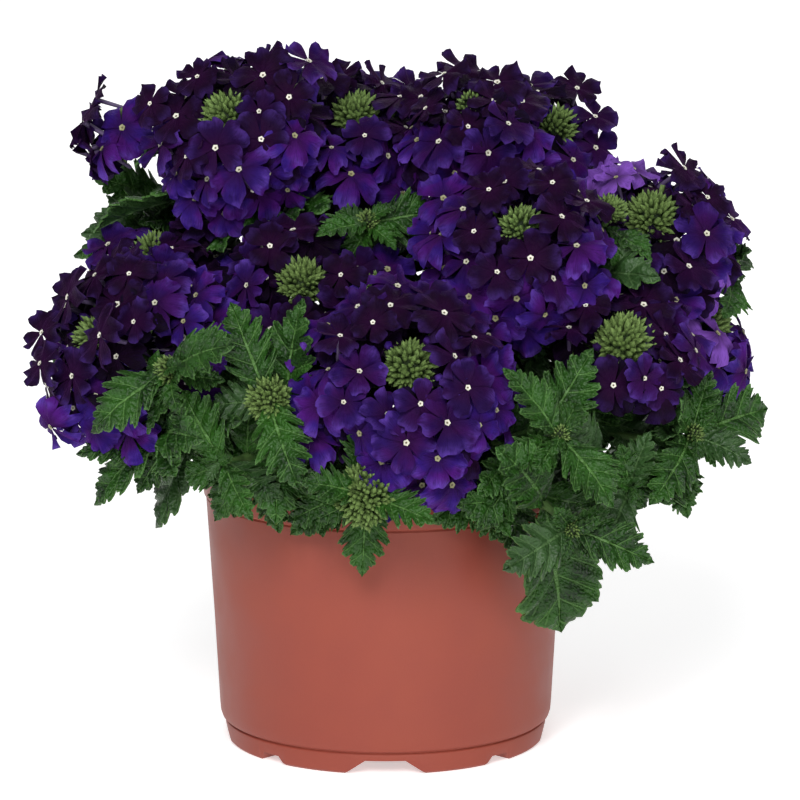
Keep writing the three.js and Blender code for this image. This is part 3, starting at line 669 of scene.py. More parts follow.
STALK, LEAF_TOP, LEAF_UNDERSIDE, BUD = range(4)
LOBES = 5
LAST_LOBE_DEPTH = 0.75
STALK_SEGMENTS = 2
MARGIN = [0.0, 0.48, 0.74, 0.6, 0.92, 1.0, 0.82, 0.8]
BLADE_ROWS = STALK_SEGMENTS + LOBES * len(MARGIN)
BLADE_COLUMNS = 6
STALK_SHARE = 0.08
STALK_HALF_WIDTH = 0.018
BLADE_START = 0.06
SWEEP = 0.85
PUCKER = 0.022
MIDRIB_DEPTH = 0.018
MIDRIB_HALF_WIDTH = 0.15
UNEVENNESS = 0.012
RIM_DROOP = 0.03
BLADE_THICKNESS = 0.014


def lobed_blade(depth, width, seed):
    """A flat blade in blade lengths: x along, y across, z the puckering between its veins."""
    bm = bmesh.new()
    bm.loops.layers.uv.new("UVMap")
    bmesh.ops.create_grid(bm, x_segments=BLADE_ROWS, y_segments=BLADE_COLUMNS, size=0.5, calc_uvs=True)
    for vert in bm.verts:
        row = round((vert.co.x + 0.5) * BLADE_ROWS)
        v = vert.co.y * 2
        lobe, tooth = divmod(max(0, row - STALK_SEGMENTS), len(MARGIN))
        in_lobes = lobe + tooth / len(MARGIN)
        m = STALK_SHARE * min(1, row / STALK_SEGMENTS) + (1 - STALK_SHARE) * in_lobes / LOBES
        x = max(0.0, (m - BLADE_START) / (1 - BLADE_START))
        envelope = width * math.sin(math.pi * min(1, x) ** 0.55) if x > 0 else 0
        half_leaf = 0 if v > 0 else 1
        own_depth = depth * (1 + spread(seed, lobe, half_leaf, 0.3))
        if lobe == LOBES - 1:
            own_depth *= LAST_LOBE_DEPTH
        cut_in = own_depth * (1 - MARGIN[tooth] * (1 + spread(seed, row, 2 + half_leaf, 0.04)))
        if row <= STALK_SEGMENTS or lobe >= LOBES:
            cut_in = 0
        out = v * max(STALK_HALF_WIDTH * (1 - m), envelope * (1 - cut_in * abs(v)))
        veins_apart = math.cos(2 * math.pi * tooth / len(MARGIN)) if row > STALK_SEGMENTS else 0
        pucker = PUCKER * veins_apart * 4 * abs(v) * (1 - 0.75 * abs(v)) * min(1, envelope * 5)
        midrib = -MIDRIB_DEPTH * math.exp(-((v / MIDRIB_HALF_WIDTH) ** 2))
        uneven = UNEVENNESS * noise.noise(Vector((m * 6, v * 2, seed * 7.3)))
        vert.co = Vector((m + SWEEP * abs(out), out, pucker + midrib + uneven - RIM_DROOP * v**4))
    bmesh.ops.solidify(bm, geom=bm.faces[:], thickness=BLADE_THICKNESS)
    bmesh.ops.recalc_face_normals(bm, faces=bm.faces)
    for face in bm.faces:
        face.material_index = LEAF_UNDERSIDE if face.normal.z < 0 else LEAF_TOP
    mesh = bpy.data.meshes.new("blade")
    bm.to_mesh(mesh)
    bm.free()
    return mesh


LEAF_TWIST = 0.35
LEAF_RIPPLE = 0.16
RIPPLES = 9
HALVES_OUT_OF_STEP = 2
leaf_points = []


def add_blade(bm, flat, blade, twist, phase):
    """Bends a copy of a flat blade into its place, with its rim rippled, and notes where it is."""
    first = len(bm.verts)
    bm.from_mesh(flat)
    bm.verts.ensure_lookup_table()
    for vert in bm.verts[first:]:
        s, out, height = vert.co
        out_of_step = HALVES_OUT_OF_STEP if out > 0 else 0
        wave = LEAF_RIPPLE * math.sin(RIPPLES * s + phase + out_of_step) * abs(out)
        vert.co = blade.point(s, out, (height + wave) * blade.length, twist)
        leaf_points.append(vert.co.copy())


BLADE_KINDS = [
    lobed_blade(0.56, 0.31, 1),
    lobed_blade(0.5, 0.29, 2),
    lobed_blade(0.6, 0.3, 3),
    lobed_blade(0.46, 0.33, 4),
    lobed_blade(0.54, 0.27, 5),
]
BROAD_BLADE = lobed_blade(0.2, 0.34, 6)


def add_leaf(bm, piece, repeat, blade, flat=None):
    """One leaf with its own twist and ripple, on a given flat blade or on any of the five kinds."""
    flat = flat or BLADE_KINDS[int(draw(piece, repeat, 5) * len(BLADE_KINDS))]
    add_blade(bm, flat, blade, spread(piece, repeat, 6, LEAF_TWIST), draw(piece, repeat, 7) * 6)


POT_CLEAR_RADIUS = 68 * MM
POT_CLEAR_HEIGHT = 101 * MM
HEAD_CLEARANCE = 0.97


def is_clear(blade):
    """Whether a blade stays out of every dome of florets, of the pot's wall and of the compost."""
    for s in (0.35, 0.7, 1.0):
        place = blade.point(s, 0, 0)
        for head in HEADS:
            if (place - head_middle(head)).length < HEAD_CLEARANCE * head.radius * MM:
                return False
        if place.z < POT_CLEAR_HEIGHT and math.hypot(place.x, place.y) < POT_CLEAR_RADIUS:
            return False
    return True


FILLING_JOINTS = (2.3, 2.9, 3.5, 4.2, 4.75)
JOINTS_APART = 0.22
TOP_JOINTS = 4.5
TOP_SHORTENING = 0.7
FILLING_LENGTH = 27
FILLING_LONGER = 9
FILLING_LEAN = 70
FILLING_LEAN_SPREAD = 22
FILLING_ATTEMPTS = 4
FILLING_DRAWS = 40


def add_filling_leaves(bm, stem):
    """Smaller leaf pairs between the large ones, where they find room."""
    for index, joint in enumerate(FILLING_JOINTS):
        if any(abs(joint - leaf[0]) < JOINTS_APART for leaf in stem.leaves):
            continue
        growing = stem.direction_at(joint)
        for side in (0, 1):
            repeat = FILLING_DRAWS + index * 2 + side
            length = (FILLING_LENGTH + FILLING_LONGER * draw(stem.piece, repeat, 4)) * MM
            if joint > TOP_JOINTS:
                length *= TOP_SHORTENING
            bend = BLADE_BEND + spread(stem.piece, repeat, 2, BEND_SPREAD)
            for attempt in range(FILLING_ATTEMPTS):
                turn = index * 90 + side * 180 + spread(stem.piece, repeat, 8 + attempt, 30 + 20 * attempt)
                turn = math.radians(turn)
                lean = FILLING_LEAN + spread(stem.piece, repeat, 14 + attempt, FILLING_LEAN_SPREAD)
                lean = math.radians(lean)
                blade = leaning_blade(stem.joint(joint), growing, turn, lean, length, bend, BLADE_FOLD)
                if is_clear(blade):
                    add_leaf(bm, stem.piece, repeat, blade)
                    break


def reaching_blade(base, tip, open_side, bend, fold):
    """A blade from a point of a stem to where its tip is, with its upper side towards an open side."""
    chord = (tip - base).normalized()
    upper = (open_side - chord * open_side.dot(chord)).normalized()
    half = bend / 2
    along = chord * math.cos(half) + upper * math.sin(half)
    length = (tip - base).length * half / math.sin(half)
    return Blade(base, along, upper * math.cos(half) - chord * math.sin(half), length, bend, fold)


LIGHT_OUT = 0.75
LIGHT_UP = 0.65
TURNED_SHARE = 0.5
FACING_INWARDS = -0.2


def turned_to_light(blade):
    """The same blade from base to tip, its upper side turned part of the way to the light from outside."""
    out = Vector((blade.base.x * 0.5, blade.base.y, 0)).normalized()
    light = out * LIGHT_OUT + Vector((0, 0, LIGHT_UP))
    share = TURNED_SHARE if blade.upper.dot(light) > FACING_INWARDS else 0
    return reaching_blade(
        blade.base, blade.point(1, 0, 0), blade.upper * (1 - share) + light * share, blade.bend, blade.fold
    )


YOUNG_PAIRS_APART = 2.5 * MM
YOUNG_LEAN = 52
YOUNG_BEND = 0.7
YOUNG_FOLD = 0.4
YOUNG_DRAWS = 60


def add_young_leaves(bm, stem, pairs, radius):
    """Half-grown leaves that spread from just under a shoot's buds."""
    for pair in range(pairs):
        for side in (0, 1):
            repeat = YOUNG_DRAWS + pair * 2 + side
            base = stem.end + stem.axis * (YOUNG_PAIRS_APART * (1 - pair))
            turn = math.radians(45 + pair * 90 + side * 180 + spread(stem.piece, repeat, 0, 20))
            lean = math.radians(YOUNG_LEAN + pair * 9 + spread(stem.piece, repeat, 1, 9))
            length = (radius * 0.9 + 8 + 3.5 * pair) * MM * (1 + spread(stem.piece, repeat, 4, 0.12))
            blade = leaning_blade(base, stem.axis, turn, lean, length, YOUNG_BEND, YOUNG_FOLD)
            add_leaf(bm, stem.piece, repeat, blade)


def lathed_mesh(outline, sides, material):
    """A slim closed body of unit length, with the share of its length as its map."""
    bm = bmesh.new()
    uv = bm.loops.layers.uv.new("UVMap")
    lathe(bm, [(radius / MM, height / MM) for radius, height in outline], sides)
    for face in bm.faces:
        face.material_index = material
        for loop in face.loops:
            loop[uv].uv = (0.5, loop.vert.co.z)
    mesh = bpy.data.meshes.new("lathed")
    bm.to_mesh(mesh)
    bm.free()
    return mesh


def stand_on(base, axis, turn, width, length):
    """The transform that stands a unit-long shape on a point, along an axis."""
    aim = axis.to_track_quat("Z", "Y").to_matrix().to_4x4()
    size = Matrix.Diagonal((width, width, length, 1))
    return Matrix.Translation(base) @ aim @ Matrix.Rotation(turn, 4, "Z") @ size


def add_copy(bm, mesh, place):
    """Puts a copy of a mesh in bm and returns its new vertices."""
    first = len(bm.verts)
    bm.from_mesh(mesh)
    bm.verts.ensure_lookup_table()
    made = bm.verts[first:]
    bmesh.ops.transform(bm, matrix=place, verts=made)
    return made


GOLDEN_TURN = math.pi * (3 - math.sqrt(5))


def dome_directions(axis, count, edge, start=0.0):
    """Evenly spaced directions over a cap round an axis, from its start to its edge, in degrees."""
    level, rising = sideways(axis)
    high, low = math.cos(math.radians(start)), math.cos(math.radians(edge))
    for index in range(count):
        along = high + (low - high) * (index + 0.5) / count
        out = math.sqrt(1 - along * along)
        turn = index * GOLDEN_TURN
        yield axis * along + (level * math.cos(turn) + rising * math.sin(turn)) * out


HAIR_MESH = lathed_mesh([(0, 0), (0.06, 0), (0, 1)], 3, BUD)
BUD_OUTLINE = [(0, 0), (0.07, 0.1), (0.11, 0.5), (0.1, 0.75), (0.05, 0.88), (0, 1)]
BUD_SIDES = 5
HAIRS_PER_BUD = 4
BUD_HAIR_LENGTH = 0.16
STEM_HAIRS = 40


def hairy_bud():
    """One pointed bud of unit length, with a few short hairs that stand out of its upper half."""
    mesh = lathed_mesh(BUD_OUTLINE, BUD_SIDES, BUD)
    bm = bmesh.new()
    bm.from_mesh(mesh)
    for hair in range(HAIRS_PER_BUD):
        outward = Vector((math.cos(hair * GOLDEN_TURN), math.sin(hair * GOLDEN_TURN), 0))
        foot = outward * 0.09 + Vector((0, 0, 0.5 + 0.11 * hair))
        leaning = outward + Vector((0, 0, 0.6))
        add_copy(bm, HAIR_MESH, stand_on(foot, leaning, 0, BUD_HAIR_LENGTH, BUD_HAIR_LENGTH))
    bm.to_mesh(mesh)
    bm.free()
    return mesh


def add_stem_hairs(bm, stem):
    """Short hairs that stand out of the stalk, all the way up."""
    for hair in range(STEM_HAIRS):
        along = 0.08 + 0.92 * draw(stem.piece, hair, 26)
        place = 1 + BENT_STEPS * along
        level, rising = sideways(stem.direction_at(place))
        turn = draw(stem.piece, hair, 27) * 2 * math.pi
        outward = level * math.cos(turn) + rising * math.sin(turn)
        foot = stem.joint(place) + outward * (0.9 * stem_radius(along, stem))
        length = (0.8 + 0.7 * draw(stem.piece, hair, 28)) * MM
        add_copy(bm, HAIR_MESH, stand_on(foot, outward, 0, length, length))


BUD_MESH = hairy_bud()
CLUSTER_DEPTH = 0.8
CLUSTER_EDGE = 88
CLUSTER_CORE = 0.6


def add_bud_cluster(bm, piece, tip, axis, radius, count, bud_length):
    """Buds that spring from one short receptacle, splayed more towards the outside."""
    bottom = tip - axis * (radius * CLUSTER_DEPTH)
    for index, outward in enumerate(dome_directions(axis, count, CLUSTER_EDGE)):
        grown = bud_length * (1 + spread(piece, index, 20, 0.25))
        wobble = Vector([spread(piece, index, use, 0.2) for use in (22, 23, 24)])
        lean = (outward * 0.75 + axis * 0.25 + wobble).normalized()
        tip_place = bottom + outward * radius * (1 + spread(piece, index, 21, 0.15))
        add_copy(bm, BUD_MESH, stand_on(tip_place - lean * grown, lean, index, grown * 1.05, grown))
    first = len(bm.faces)
    core = Matrix.Translation(bottom) @ Matrix.Scale(radius * CLUSTER_CORE, 4)
    bmesh.ops.create_icosphere(bm, subdivisions=2, radius=1, matrix=core)
    bm.faces.ensure_lookup_table()
    for face in bm.faces[first:]:
        face.material_index = BUD


stem_finish = Finish("stem_green", Roughness=0.55, Specular_IOR_Level=0.25)
stem_streaks = stem_finish.step(stem_finish.noise(5 * MM, 3), 0.3, 0.7)
stem_finish.paint(Base_Color=stem_finish.mix(stem_streaks, colour("2f4421"), colour("4a6534")))
stem_finish.bump(stem_finish.noise(0.5 * MM, 2), 0.15 * MM)


def leaf_finish(name, dark, light, vein, relief):
    """A wrinkled leaf face: paler sunk veins that follow the blade's own map, and a fine puckered net with a
    painted highlight.
    """
    finish = Finish(name, Roughness=0.4, Specular_IOR_Level=0.28)
    own_map = finish.node("ShaderNodeUVMap", {"uv_map": "UVMap"}, {})
    along = finish.node("ShaderNodeSeparateXYZ", {}, {0: own_map}, 0)
    across = finish.node("ShaderNodeSeparateXYZ", {}, {0: own_map}, 1)
    lobe = (along * BLADE_ROWS - STALK_SEGMENTS) * (1 / len(MARGIN))
    from_middle = abs(across * 2 - 1)
    from_vein = abs(lobe.math("FRACT", lobe) - 0.5)
    side_vein = finish.step(from_vein, 0.08, 0.025) * finish.step(from_middle, 1.0, 0.8)
    branch = abs(from_vein - (from_middle - 0.35) * 0.5)
    branch_vein = finish.step(branch, 0.06, 0.02) * finish.step(from_middle, 0.33, 0.4)
    branch_vein = branch_vein * finish.step(from_middle, 1.0, 0.8)
    midrib = finish.step(from_middle, 0.08, 0.035)
    veins = side_vein.math("MAXIMUM", side_vein * 0.7, midrib)
    veins = veins.math("MAXIMUM", veins, branch_vein * 0.4)
    net = finish.cells(1.1 * MM)
    patches = finish.noise(12 * MM, 3)
    blade_colour = finish.mix(finish.step(patches, 0.3, 0.7), dark, light)
    # Painted highlight: the middles of the net's raised cells are painted towards the lighter green, as where
    # the puckers catch the light.
    blade_colour = finish.mix(finish.step(net, 0.55, 0.1) * 0.6, blade_colour, light)
    rim = finish.step(from_middle, 0.9, 1.0)
    blade_colour = finish.mix(veins * 0.45 + rim * 0.32, blade_colour, vein)
    finish.paint(Base_Color=blade_colour)
    height = veins * -0.5 + net * -0.9 + finish.noise(0.4 * MM, 2) * 0.15
    finish.bump(height, relief)
    return finish


leaf_top = leaf_finish("leaf_upper", colour("12290d"), colour("2b5519"), colour("6a9550"), 1.1 * MM)
leaf_underside = leaf_finish("leaf_under", colour("203a19"), colour("325028"), colour("5c7b4b"), -0.6 * MM)

bud_finish = Finish("bud_green", Roughness=0.55, Specular_IOR_Level=0.25)
bud_map = bud_finish.node("ShaderNodeUVMap", {"uv_map": "UVMap"}, {})
bud_share = bud_finish.node("ShaderNodeSeparateXYZ", {}, {0: bud_map}, 1)
# Painted shade: darker towards the foot of each bud, calyx and hair, for the shade in the gaps between the
# crowded buds, and paler at the tip. The core of a cluster has no map, so it takes the darkest colour.
bud_colour_and_shade = bud_finish.mix(bud_finish.step(bud_share, 0.3, 0.95), colour("0f1d09"), colour("7b9553"))
bud_patches = bud_finish.step(bud_finish.noise(1.2 * MM, 2), 0.4, 0.7)
bud_finish.paint(Base_Color=bud_finish.mix(bud_patches * 0.5, bud_colour_and_shade, colour("36501f")))
bud_finish.bump(bud_finish.noise(0.5 * MM, 2), 0.5 * MM)

ADDED_DRAWS = 80
ADDED_BEND = 0.6
ADDED_FOLD = 0.3
BUDS_PAST_STEM = 1.5 * MM
HEAD_BUD_CROWDING = (16, 1.05)
SHOOT_BUD_CROWDING = (24, 1.7)
BUD_LENGTH = 0.85
LONGEST_SHOOT_BUD = 8 * MM


def bud_count(radius, least, crowding):
    """How many buds a tuft has, by its radius in millimetres."""
    return least + round(crowding * radius**2)


for stem in stems:
    bm = bmesh.new()
    bm.loops.layers.uv.new("UVMap")
    add_stalk(bm, stem)
    corners = corners_of(stem.node)
    for pair, leaf in enumerate(stem.leaves):
        for side in (0, 1):
            blade = leaf_in_solid(corners, stem, leaf, pair, side)
            if blade:
                blade = turned_to_light(blade)
                blade.length *= REACH.get((stem.node, pair, side), 1)
                flat = BROAD_BLADE if (stem.node, pair, side) == BROAD_LEAF else None
                add_leaf(bm, stem.piece, pair * 2 + side, blade, flat)
    add_stem_hairs(bm, stem)
    add_filling_leaves(bm, stem)
    for index, (joint, tip) in enumerate(ADDED_LEAVES.get(stem.node, [])):
        bend = ADDED_BEND + spread(stem.piece, ADDED_DRAWS + index, 2, 0.3)
        open_side = Vector((0, -LIGHT_OUT, LIGHT_UP))
        blade = reaching_blade(stem.joint(joint), Vector(tip) * MM, open_side, bend, ADDED_FOLD)
        add_leaf(bm, stem.piece, ADDED_DRAWS + index, blade)
    if stem.piece < len(HEADS):
        head = HEADS[stem.piece]
        radius = head.buds * MM
        tip = Vector(head.bud) * MM + stem.axis * BUDS_PAST_STEM
        count = bud_count(head.buds, *HEAD_BUD_CROWDING)
        bud_length = BUD_LENGTH * head.buds * MM
    else:
        shoot = SHOOTS[stem.piece - len(HEADS)]
        radius = shoot.buds * MM
        tip = Vector(shoot.tip) * MM
        count = bud_count(shoot.buds, *SHOOT_BUD_CROWDING)
        bud_length = min(BUD_LENGTH * radius, LONGEST_SHOOT_BUD)
        add_young_leaves(bm, stem, shoot.young, shoot.buds)
    if radius:
        add_bud_cluster(bm, stem.piece, tip, stem.axis, radius, count, bud_length)
    finishes = [stem_finish, leaf_top, leaf_underside, bud_finish]
    add_piece(f"{stem.node}_grown", bm, finishes, [stem.node], math.radians(65))


# ---- Florets ----
# Each head is a dome of five-petalled florets on slim tubes that spring from green calyxes round the
# flower stalk. Young florets by the buds are nearly black, older ones outside are blue violet. Florets
# above the buds and under the dome are painted darker as shade, and the ends of older petals paler as
# a painted highlight.

PETALS = 5
EYE_RADIUS = 1.08 * MM
EYE_HEIGHT = 0.45 * MM
EYE_RING = 0.68 * MM
THROAT_DEPTH = 0.2 * MM
PETAL_REACH = 10.2 * MM
PETAL_HALF_WIDTH = 4.2 * MM
PETAL_FOOT_HALF_WIDTH = 0.8 * MM
BROADEST = 0.75
TAPER = 0.2
NOTCH = 0.08
CORNER_ROUNDING = 0.17
OVERLAP_STEP = 0.35 * MM
TUBE_LENGTH = 12 * MM
TUBE_RADIUS = 0.7 * MM
TUBE_SIDES = 5
CALYX_LENGTH = 8 * MM
CALYX_OVERLAP = 2 * MM
PETAL_FACES = (6, 3)
FLORET_KINDS = 10
PETAL, EYE, THROAT, TUBE, CALYX = range(5)


def add_petal(bm, turn, kind, petal):
    """One petal: narrow at the eye, broad and notched at its end, folded and ruffled."""
    wide, long = PETAL_FACES
    made = bmesh.ops.create_grid(bm, x_segments=wide, y_segments=long, size=1, calc_uvs=True)["verts"]
    full_blown = kind >= FLORET_KINDS / 2
    droop = (1.2 + 2.2 * full_blown + spread(kind, petal, 30, 2.4)) * MM
    wave = (0.7 + spread(kind, petal, 31, 1.8)) * MM
    fold = (1.2 + 0.4 * full_blown + spread(kind, petal, 34, 1.0)) * MM
    if draw(kind, petal, 36) < 0.7:
        fold = -fold
    ruffle = (0.8 + 0.6 * full_blown + 0.9 * draw(kind, petal, 35)) * MM
    size = 1 + spread(kind, petal, 32, 0.12)
    for vert in made:
        a, r = vert.co.x, ((vert.co.y + 1) / 2) ** 0.7
        broad = math.sin(min(1, r / BROADEST) * math.pi / 2) ** 1.3
        broad *= 1 - TAPER * max(0, (r - BROADEST) / (1 - BROADEST))
        half = PETAL_FOOT_HALF_WIDTH + (PETAL_HALF_WIDTH * size - PETAL_FOOT_HALF_WIDTH) * broad
        cut_back = NOTCH * math.exp(-((a / 0.25) ** 2)) + CORNER_ROUNDING * abs(a) ** 2.7
        reach = EYE_RADIUS * 0.8 + (PETAL_REACH * size - EYE_RADIUS) * (r - cut_back * r**4)
        lift = fold * (abs(a) - 0.4) * r + wave * a * r - droop * r * r
        lift += ruffle * math.sin(4.6 * a + petal * 1.7) * r * r + OVERLAP_STEP * (a > 0)
        vert.co = Vector((reach, a * half, lift))
    bmesh.ops.rotate(bm, verts=made, cent=(0, 0, 0), matrix=Matrix.Rotation(turn, 3, "Z"))


def floret_mesh(kind):
    """One open floret round its eye at the origin, facing +Z: petals, eye, throat and tube."""
    bm = bmesh.new()
    bm.loops.layers.uv.new("UVMap")
    for petal in range(PETALS):
        turn = petal * 2 * math.pi / PETALS + spread(kind, petal, 33, 0.14)
        add_petal(bm, turn, kind, petal)
    petals = set(bm.faces)
    rim = bmesh.ops.create_circle(bm, cap_ends=True, segments=PETALS, radius=EYE_RADIUS)["verts"]
    eye = [face for face in bm.faces if face not in petals]
    bmesh.ops.translate(bm, verts=rim, vec=(0, 0, EYE_HEIGHT))
    ring = bmesh.ops.inset_individual(bm, faces=eye, thickness=EYE_RING, depth=-THROAT_DEPTH)["faces"]
    for face in ring:
        face.material_index = EYE
    for face in eye:
        face.material_index = THROAT
    open_faces = set(bm.faces)
    bmesh.ops.create_cone(
        bm, cap_ends=False, segments=TUBE_SIDES, radius1=TUBE_RADIUS, radius2=EYE_RADIUS * 0.9,
        depth=TUBE_LENGTH, matrix=Matrix.Translation((0, 0, -TUBE_LENGTH / 2)),
    )
    for face in bm.faces:
        if face not in open_faces:
            face.material_index = TUBE
    mesh = bpy.data.meshes.new("floret")
    bm.to_mesh(mesh)
    bm.free()
    return mesh


FLORET_MESHES = [floret_mesh(kind) for kind in range(FLORET_KINDS)]
CALYX_OUTLINE = [(0, 0), (0.09, 0.05), (0.14, 0.5), (0.12, 0.95), (0, 1)]
CALYX_MESH = lathed_mesh(CALYX_OUTLINE, TUBE_SIDES, CALYX)
KNOB_OUTLINE = [(0, 0), (0.07, 0.05), (0.07, 0.55), (0.2, 0.72), (0.2, 0.86), (0, 1)]
KNOB_MESH = lathed_mesh(KNOB_OUTLINE, TUBE_SIDES, PETAL)

DOMES_APART = 0.9
LEAVES_APART = 4.5 * MM
leaf_tree = KDTree(len(leaf_points))
for index, point in enumerate(leaf_points):
    leaf_tree.insert(point, index)
leaf_tree.balance()


def is_near(place, spots):
    """Whether a place lies within any of the spots, each given by its middle and its reach."""
    return any((place - Vector(spot) * MM).length < reach * MM for *spot, reach in spots)


def has_room(own, place):
    """Whether a floret there stays out of the other heads' domes and clear of the leaves."""
    for index, head in enumerate(HEADS):
        if index != own and (place - head_middle(head)).length < DOMES_APART * head.radius * MM:
            return False
    return leaf_tree.find(place)[2] > LEAVES_APART


petal_finish = Finish(
    "petal_velvet", Roughness=0.6, Specular_IOR_Level=0.05,
    Sheen_Weight=0.13, Sheen_Roughness=0.4, Sheen_Tint=(0.35, 0.1, 0.5, 1),
)
petal_map = petal_finish.node("ShaderNodeUVMap", {"uv_map": "UVMap"}, {})
petal_across = petal_finish.node("ShaderNodeSeparateXYZ", {}, {0: petal_map}, 0)
petal_out = petal_finish.node("ShaderNodeSeparateXYZ", {}, {0: petal_map}, 1)
age = petal_finish.node("ShaderNodeAttribute", {"attribute_name": "age"}, {}, "Fac")
hues = petal_finish.step(petal_finish.noise(11 * MM, 2), 0.42, 0.6)
petal_colour_and_light = petal_finish.mix(hues, colour("2b1468"), colour("431368"))
# Young florets are near black. The same value also paints florets above the buds darker, as painted shade.
petal_colour_and_light = petal_finish.mix(petal_finish.step(age, 0.1, 0.75), colour("15031a"), petal_colour_and_light)
# Painted highlight: the outer ends of older petals are painted paler violet in patches, as where they catch
# the light.
tip_highlight = petal_finish.step(petal_out, 0.35, 0.95) * petal_finish.step(petal_finish.noise(5 * MM, 3), 0.35, 0.65)
petal_colour_and_light = petal_finish.mix(tip_highlight * petal_finish.step(age, 0.0, 0.7, 0.15, 0.75), petal_colour_and_light, colour("5d3fa2"))
petal_colour_and_light = petal_finish.mix(petal_finish.step(age, 1.0, 1.8), petal_colour_and_light, colour("7d4fb2"))
throat = petal_finish.step(petal_out, 0.5, 0.05)
petal_colour_and_light = petal_finish.mix(throat * 0.6, petal_colour_and_light, colour("26052a"))
# Painted shade: florets whose value is below zero, the inner layer under each dome, are painted near black.
petal_colour_and_light = petal_finish.mix(petal_finish.step(age, -0.4, -0.8) * 0.75, petal_colour_and_light, colour("060209"))
streaks = petal_finish.node("ShaderNodeCombineXYZ", {}, {0: petal_across * 26, 1: petal_out * 2.2})
veins = petal_finish.noise(1, 2, streaks)
petal_colour_and_light = petal_finish.mix(petal_finish.step(veins, 0.48, 0.72) * 0.45, petal_colour_and_light, colour("13052a"))
petal_finish.paint(Base_Color=petal_colour_and_light)
petal_finish.bump(veins + petal_finish.noise(1.6 * MM, 2), 0.4 * MM)

eye_finish = Finish("floret_eye", Roughness=0.6)
eye_age_and_shade = eye_finish.node("ShaderNodeAttribute", {"attribute_name": "age"}, {}, "Fac")
faded = eye_finish.step(eye_age_and_shade, 0.1, 0.9)
eye_finish.paint(Base_Color=eye_finish.mix(faded, colour("d9d6c9"), colour("8c8966")))
throat_finish = Finish("floret_throat", Base_Color=colour("5b563a"), Roughness=0.8)
tube_finish = Finish("floret_tube", Base_Color=colour("57476b"), Roughness=0.6)

OUTER_LAYER = 0.98
INNER_LAYER = 0.8
RAISED_LAYER = 1.05
INNER_GAP = 5
INNER_SHADE = 1.4
FULL_DOME = 112
LEAST_FLORETS = 7
FLORETS_PER_SQUARE_RADIUS = 0.054
TURNED_DOWN = 60
DRAWN_IN = 0.12
FRONT_LIGHT = Vector((0, -1, 0.3))
YOUNG_EDGE = 34
AGEING_SPAN = 42
FULL_BLOWN_AGE = 0.45
FADED_AGE = 1.5
KNOBS = 6
KNOB_DEPTH = 0.86
KNOB_WIDTH = 7.5 * MM
KNOB_LENGTH = 10
KNOB_LONGER = 3
KNOB_AGE = 0.15
# Florets that stand above their dome, by head, at given places.
RAISED_FLORETS = {0: [(-27, 0, 240), (-82, 0, 226)], 8: [(-119, -52, 144), (-114, -50, 122)]}
# Spots of lilac faded florets, and spots without florets, as (x, y, z, reach).
FADED_SPOTS = [(80, 4, 205, 17), (117, -4, 156, 16), (66, 40, 204, 12)]
BARE_SPOTS = [
    (89, -60, 121, 14), (52, -50, 140, 17), (-3, -63, 177, 8), (43, -60, 150, 10),
    (-92, 21, 228, 13), (-92, 21, 196, 13), (79, 38, 212, 9), (98, 10, 208, 9),
]


def first_lean(head):
    """How far from its axis a head's florets start, just outside its buds, in degrees."""
    return math.degrees(math.asin(min(0.9, (1.2 * head.buds + 2.4) / head.radius)))


def floret_places(index, head, start):
    """Every floret of a head as its direction from the dome's middle and its share of the radius."""
    facing = direction(*head.axis)
    count = max(LEAST_FLORETS, round(FLORETS_PER_SQUARE_RADIUS * head.radius**2 * head.edge / FULL_DOME))
    inner_ends = (180 - start - INNER_GAP, 180 - head.edge)
    outer = [(outward, OUTER_LAYER) for outward in dome_directions(facing, count, head.edge, start)]
    inner = [(outward, INNER_LAYER) for outward in dome_directions(-facing, count // 2, *inner_ends)]
    raised = [Vector(place) * MM - head_middle(head) for place in RAISED_FLORETS.get(index, [])]
    return outer + inner + [(place.normalized(), place.length / (head.radius * MM)) for place in raised]


def age_and_shade_of_floret(index, floret, head, lean, place):
    """From 0 by the buds to 1 at the dome's edge, less above the buds and more below: painted shade on a
    head's upper side.
    """
    grown = (lean - YOUNG_EDGE) / AGEING_SPAN + spread(index, floret, 47, 0.4)
    floret_age_and_shade = max(0, min(1, grown)) * 0.95 + head.age * 0.5
    above_buds = (place.z - head.bud[2] * MM) / (head.radius * MM)
    # Painted shade: florets above the buds are given less age, so they are painted darker; florets below the
    # buds are given more.
    return min(1, floret_age_and_shade - 0.8 * max(0, above_buds) - 0.3 * min(0, above_buds))


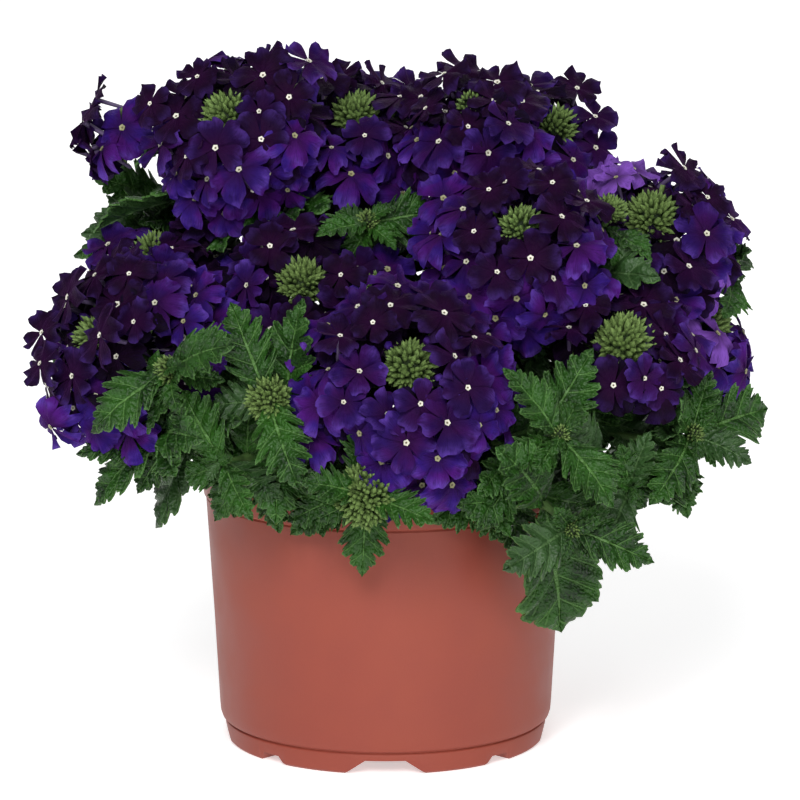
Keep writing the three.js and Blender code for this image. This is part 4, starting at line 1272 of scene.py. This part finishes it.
def add_floret(bm, age_and_shade_layer, index, floret, outward, layer):
    """One floret of a head with its calyx, unless its place is bare or taken."""
    head = HEADS[index]
    facing = direction(*head.axis)
    middle = head_middle(head)
    lean = math.degrees(outward.angle(facing))
    drawn_in = DRAWN_IN * max(0, (lean - TURNED_DOWN) / 50)
    place = middle + outward * (head.radius * MM * (layer - drawn_in) + spread(index, floret, 40, 3.2) * MM)
    if is_near(place, BARE_SPOTS) or not has_room(index, place):
        return
    wobble = Vector([spread(index, floret, use, 0.38) for use in (41, 42, 43)])
    turned_to = facing if layer < RAISED_LAYER else FRONT_LIGHT
    face_to = (outward * 0.5 + turned_to * 0.5 + wobble).normalized()
    turn = draw(index, floret, 44) * 2 * math.pi
    size = 1 + spread(index, floret, 45, 0.16)
    floret_age_and_shade = age_and_shade_of_floret(index, floret, head, lean, place)
    kind = int((draw(index, floret, 46) + (floret_age_and_shade > FULL_BLOWN_AGE)) * FLORET_KINDS / 2)
    made = add_copy(bm, FLORET_MESHES[kind], stand_on(place, face_to, turn, size, size))
    if is_near(place, FADED_SPOTS):
        floret_age_and_shade = FADED_AGE + 0.4 * draw(index, floret, 48)
    # The inner layer is pushed below zero, so the shader paints it near black as shade under the dome.
    if layer == INNER_LAYER:
        floret_age_and_shade = min(floret_age_and_shade, 1) - INNER_SHADE
    for vert in made:
        vert[age_and_shade_layer] = floret_age_and_shade
    calyx_top = place - face_to * (TUBE_LENGTH - CALYX_OVERLAP)
    calyx_axis = (calyx_top - middle).normalized()
    calyx_foot = calyx_top - calyx_axis * CALYX_LENGTH
    add_copy(bm, CALYX_MESH, stand_on(calyx_foot, calyx_axis, 0, CALYX_LENGTH, CALYX_LENGTH))


def add_knobs(bm, age_and_shade_layer, index, start):
    """Violet buds about to open, in a ring between a head's green buds and its florets."""
    head = HEADS[index]
    for knob, outward in enumerate(dome_directions(direction(*head.axis), KNOBS, start * 0.95, start * 0.8)):
        length = (KNOB_LENGTH + KNOB_LONGER * draw(index, knob, 50)) * MM
        base = head_middle(head) + outward * (head.radius * MM * KNOB_DEPTH) - outward * length
        for vert in add_copy(bm, KNOB_MESH, stand_on(base, outward, knob, KNOB_WIDTH, length)):
            vert[age_and_shade_layer] = KNOB_AGE + head.age


for index, head in enumerate(HEADS):
    bm = bmesh.new()
    bm.loops.layers.uv.new("UVMap")
    age_and_shade_layer = bm.verts.layers.float.new("age")
    start = first_lean(head)
    for floret, (outward, layer) in enumerate(floret_places(index, head, start)):
        add_floret(bm, age_and_shade_layer, index, floret, outward, layer)
    add_knobs(bm, age_and_shade_layer, index, start)
    finishes = [petal_finish, eye_finish, throat_finish, tube_finish, bud_finish]
    replaced = [f"florets_{index + 1:02d}"]
    add_piece(f"flower_head_{index + 1:02d}", bm, finishes, replaced, math.radians(80))
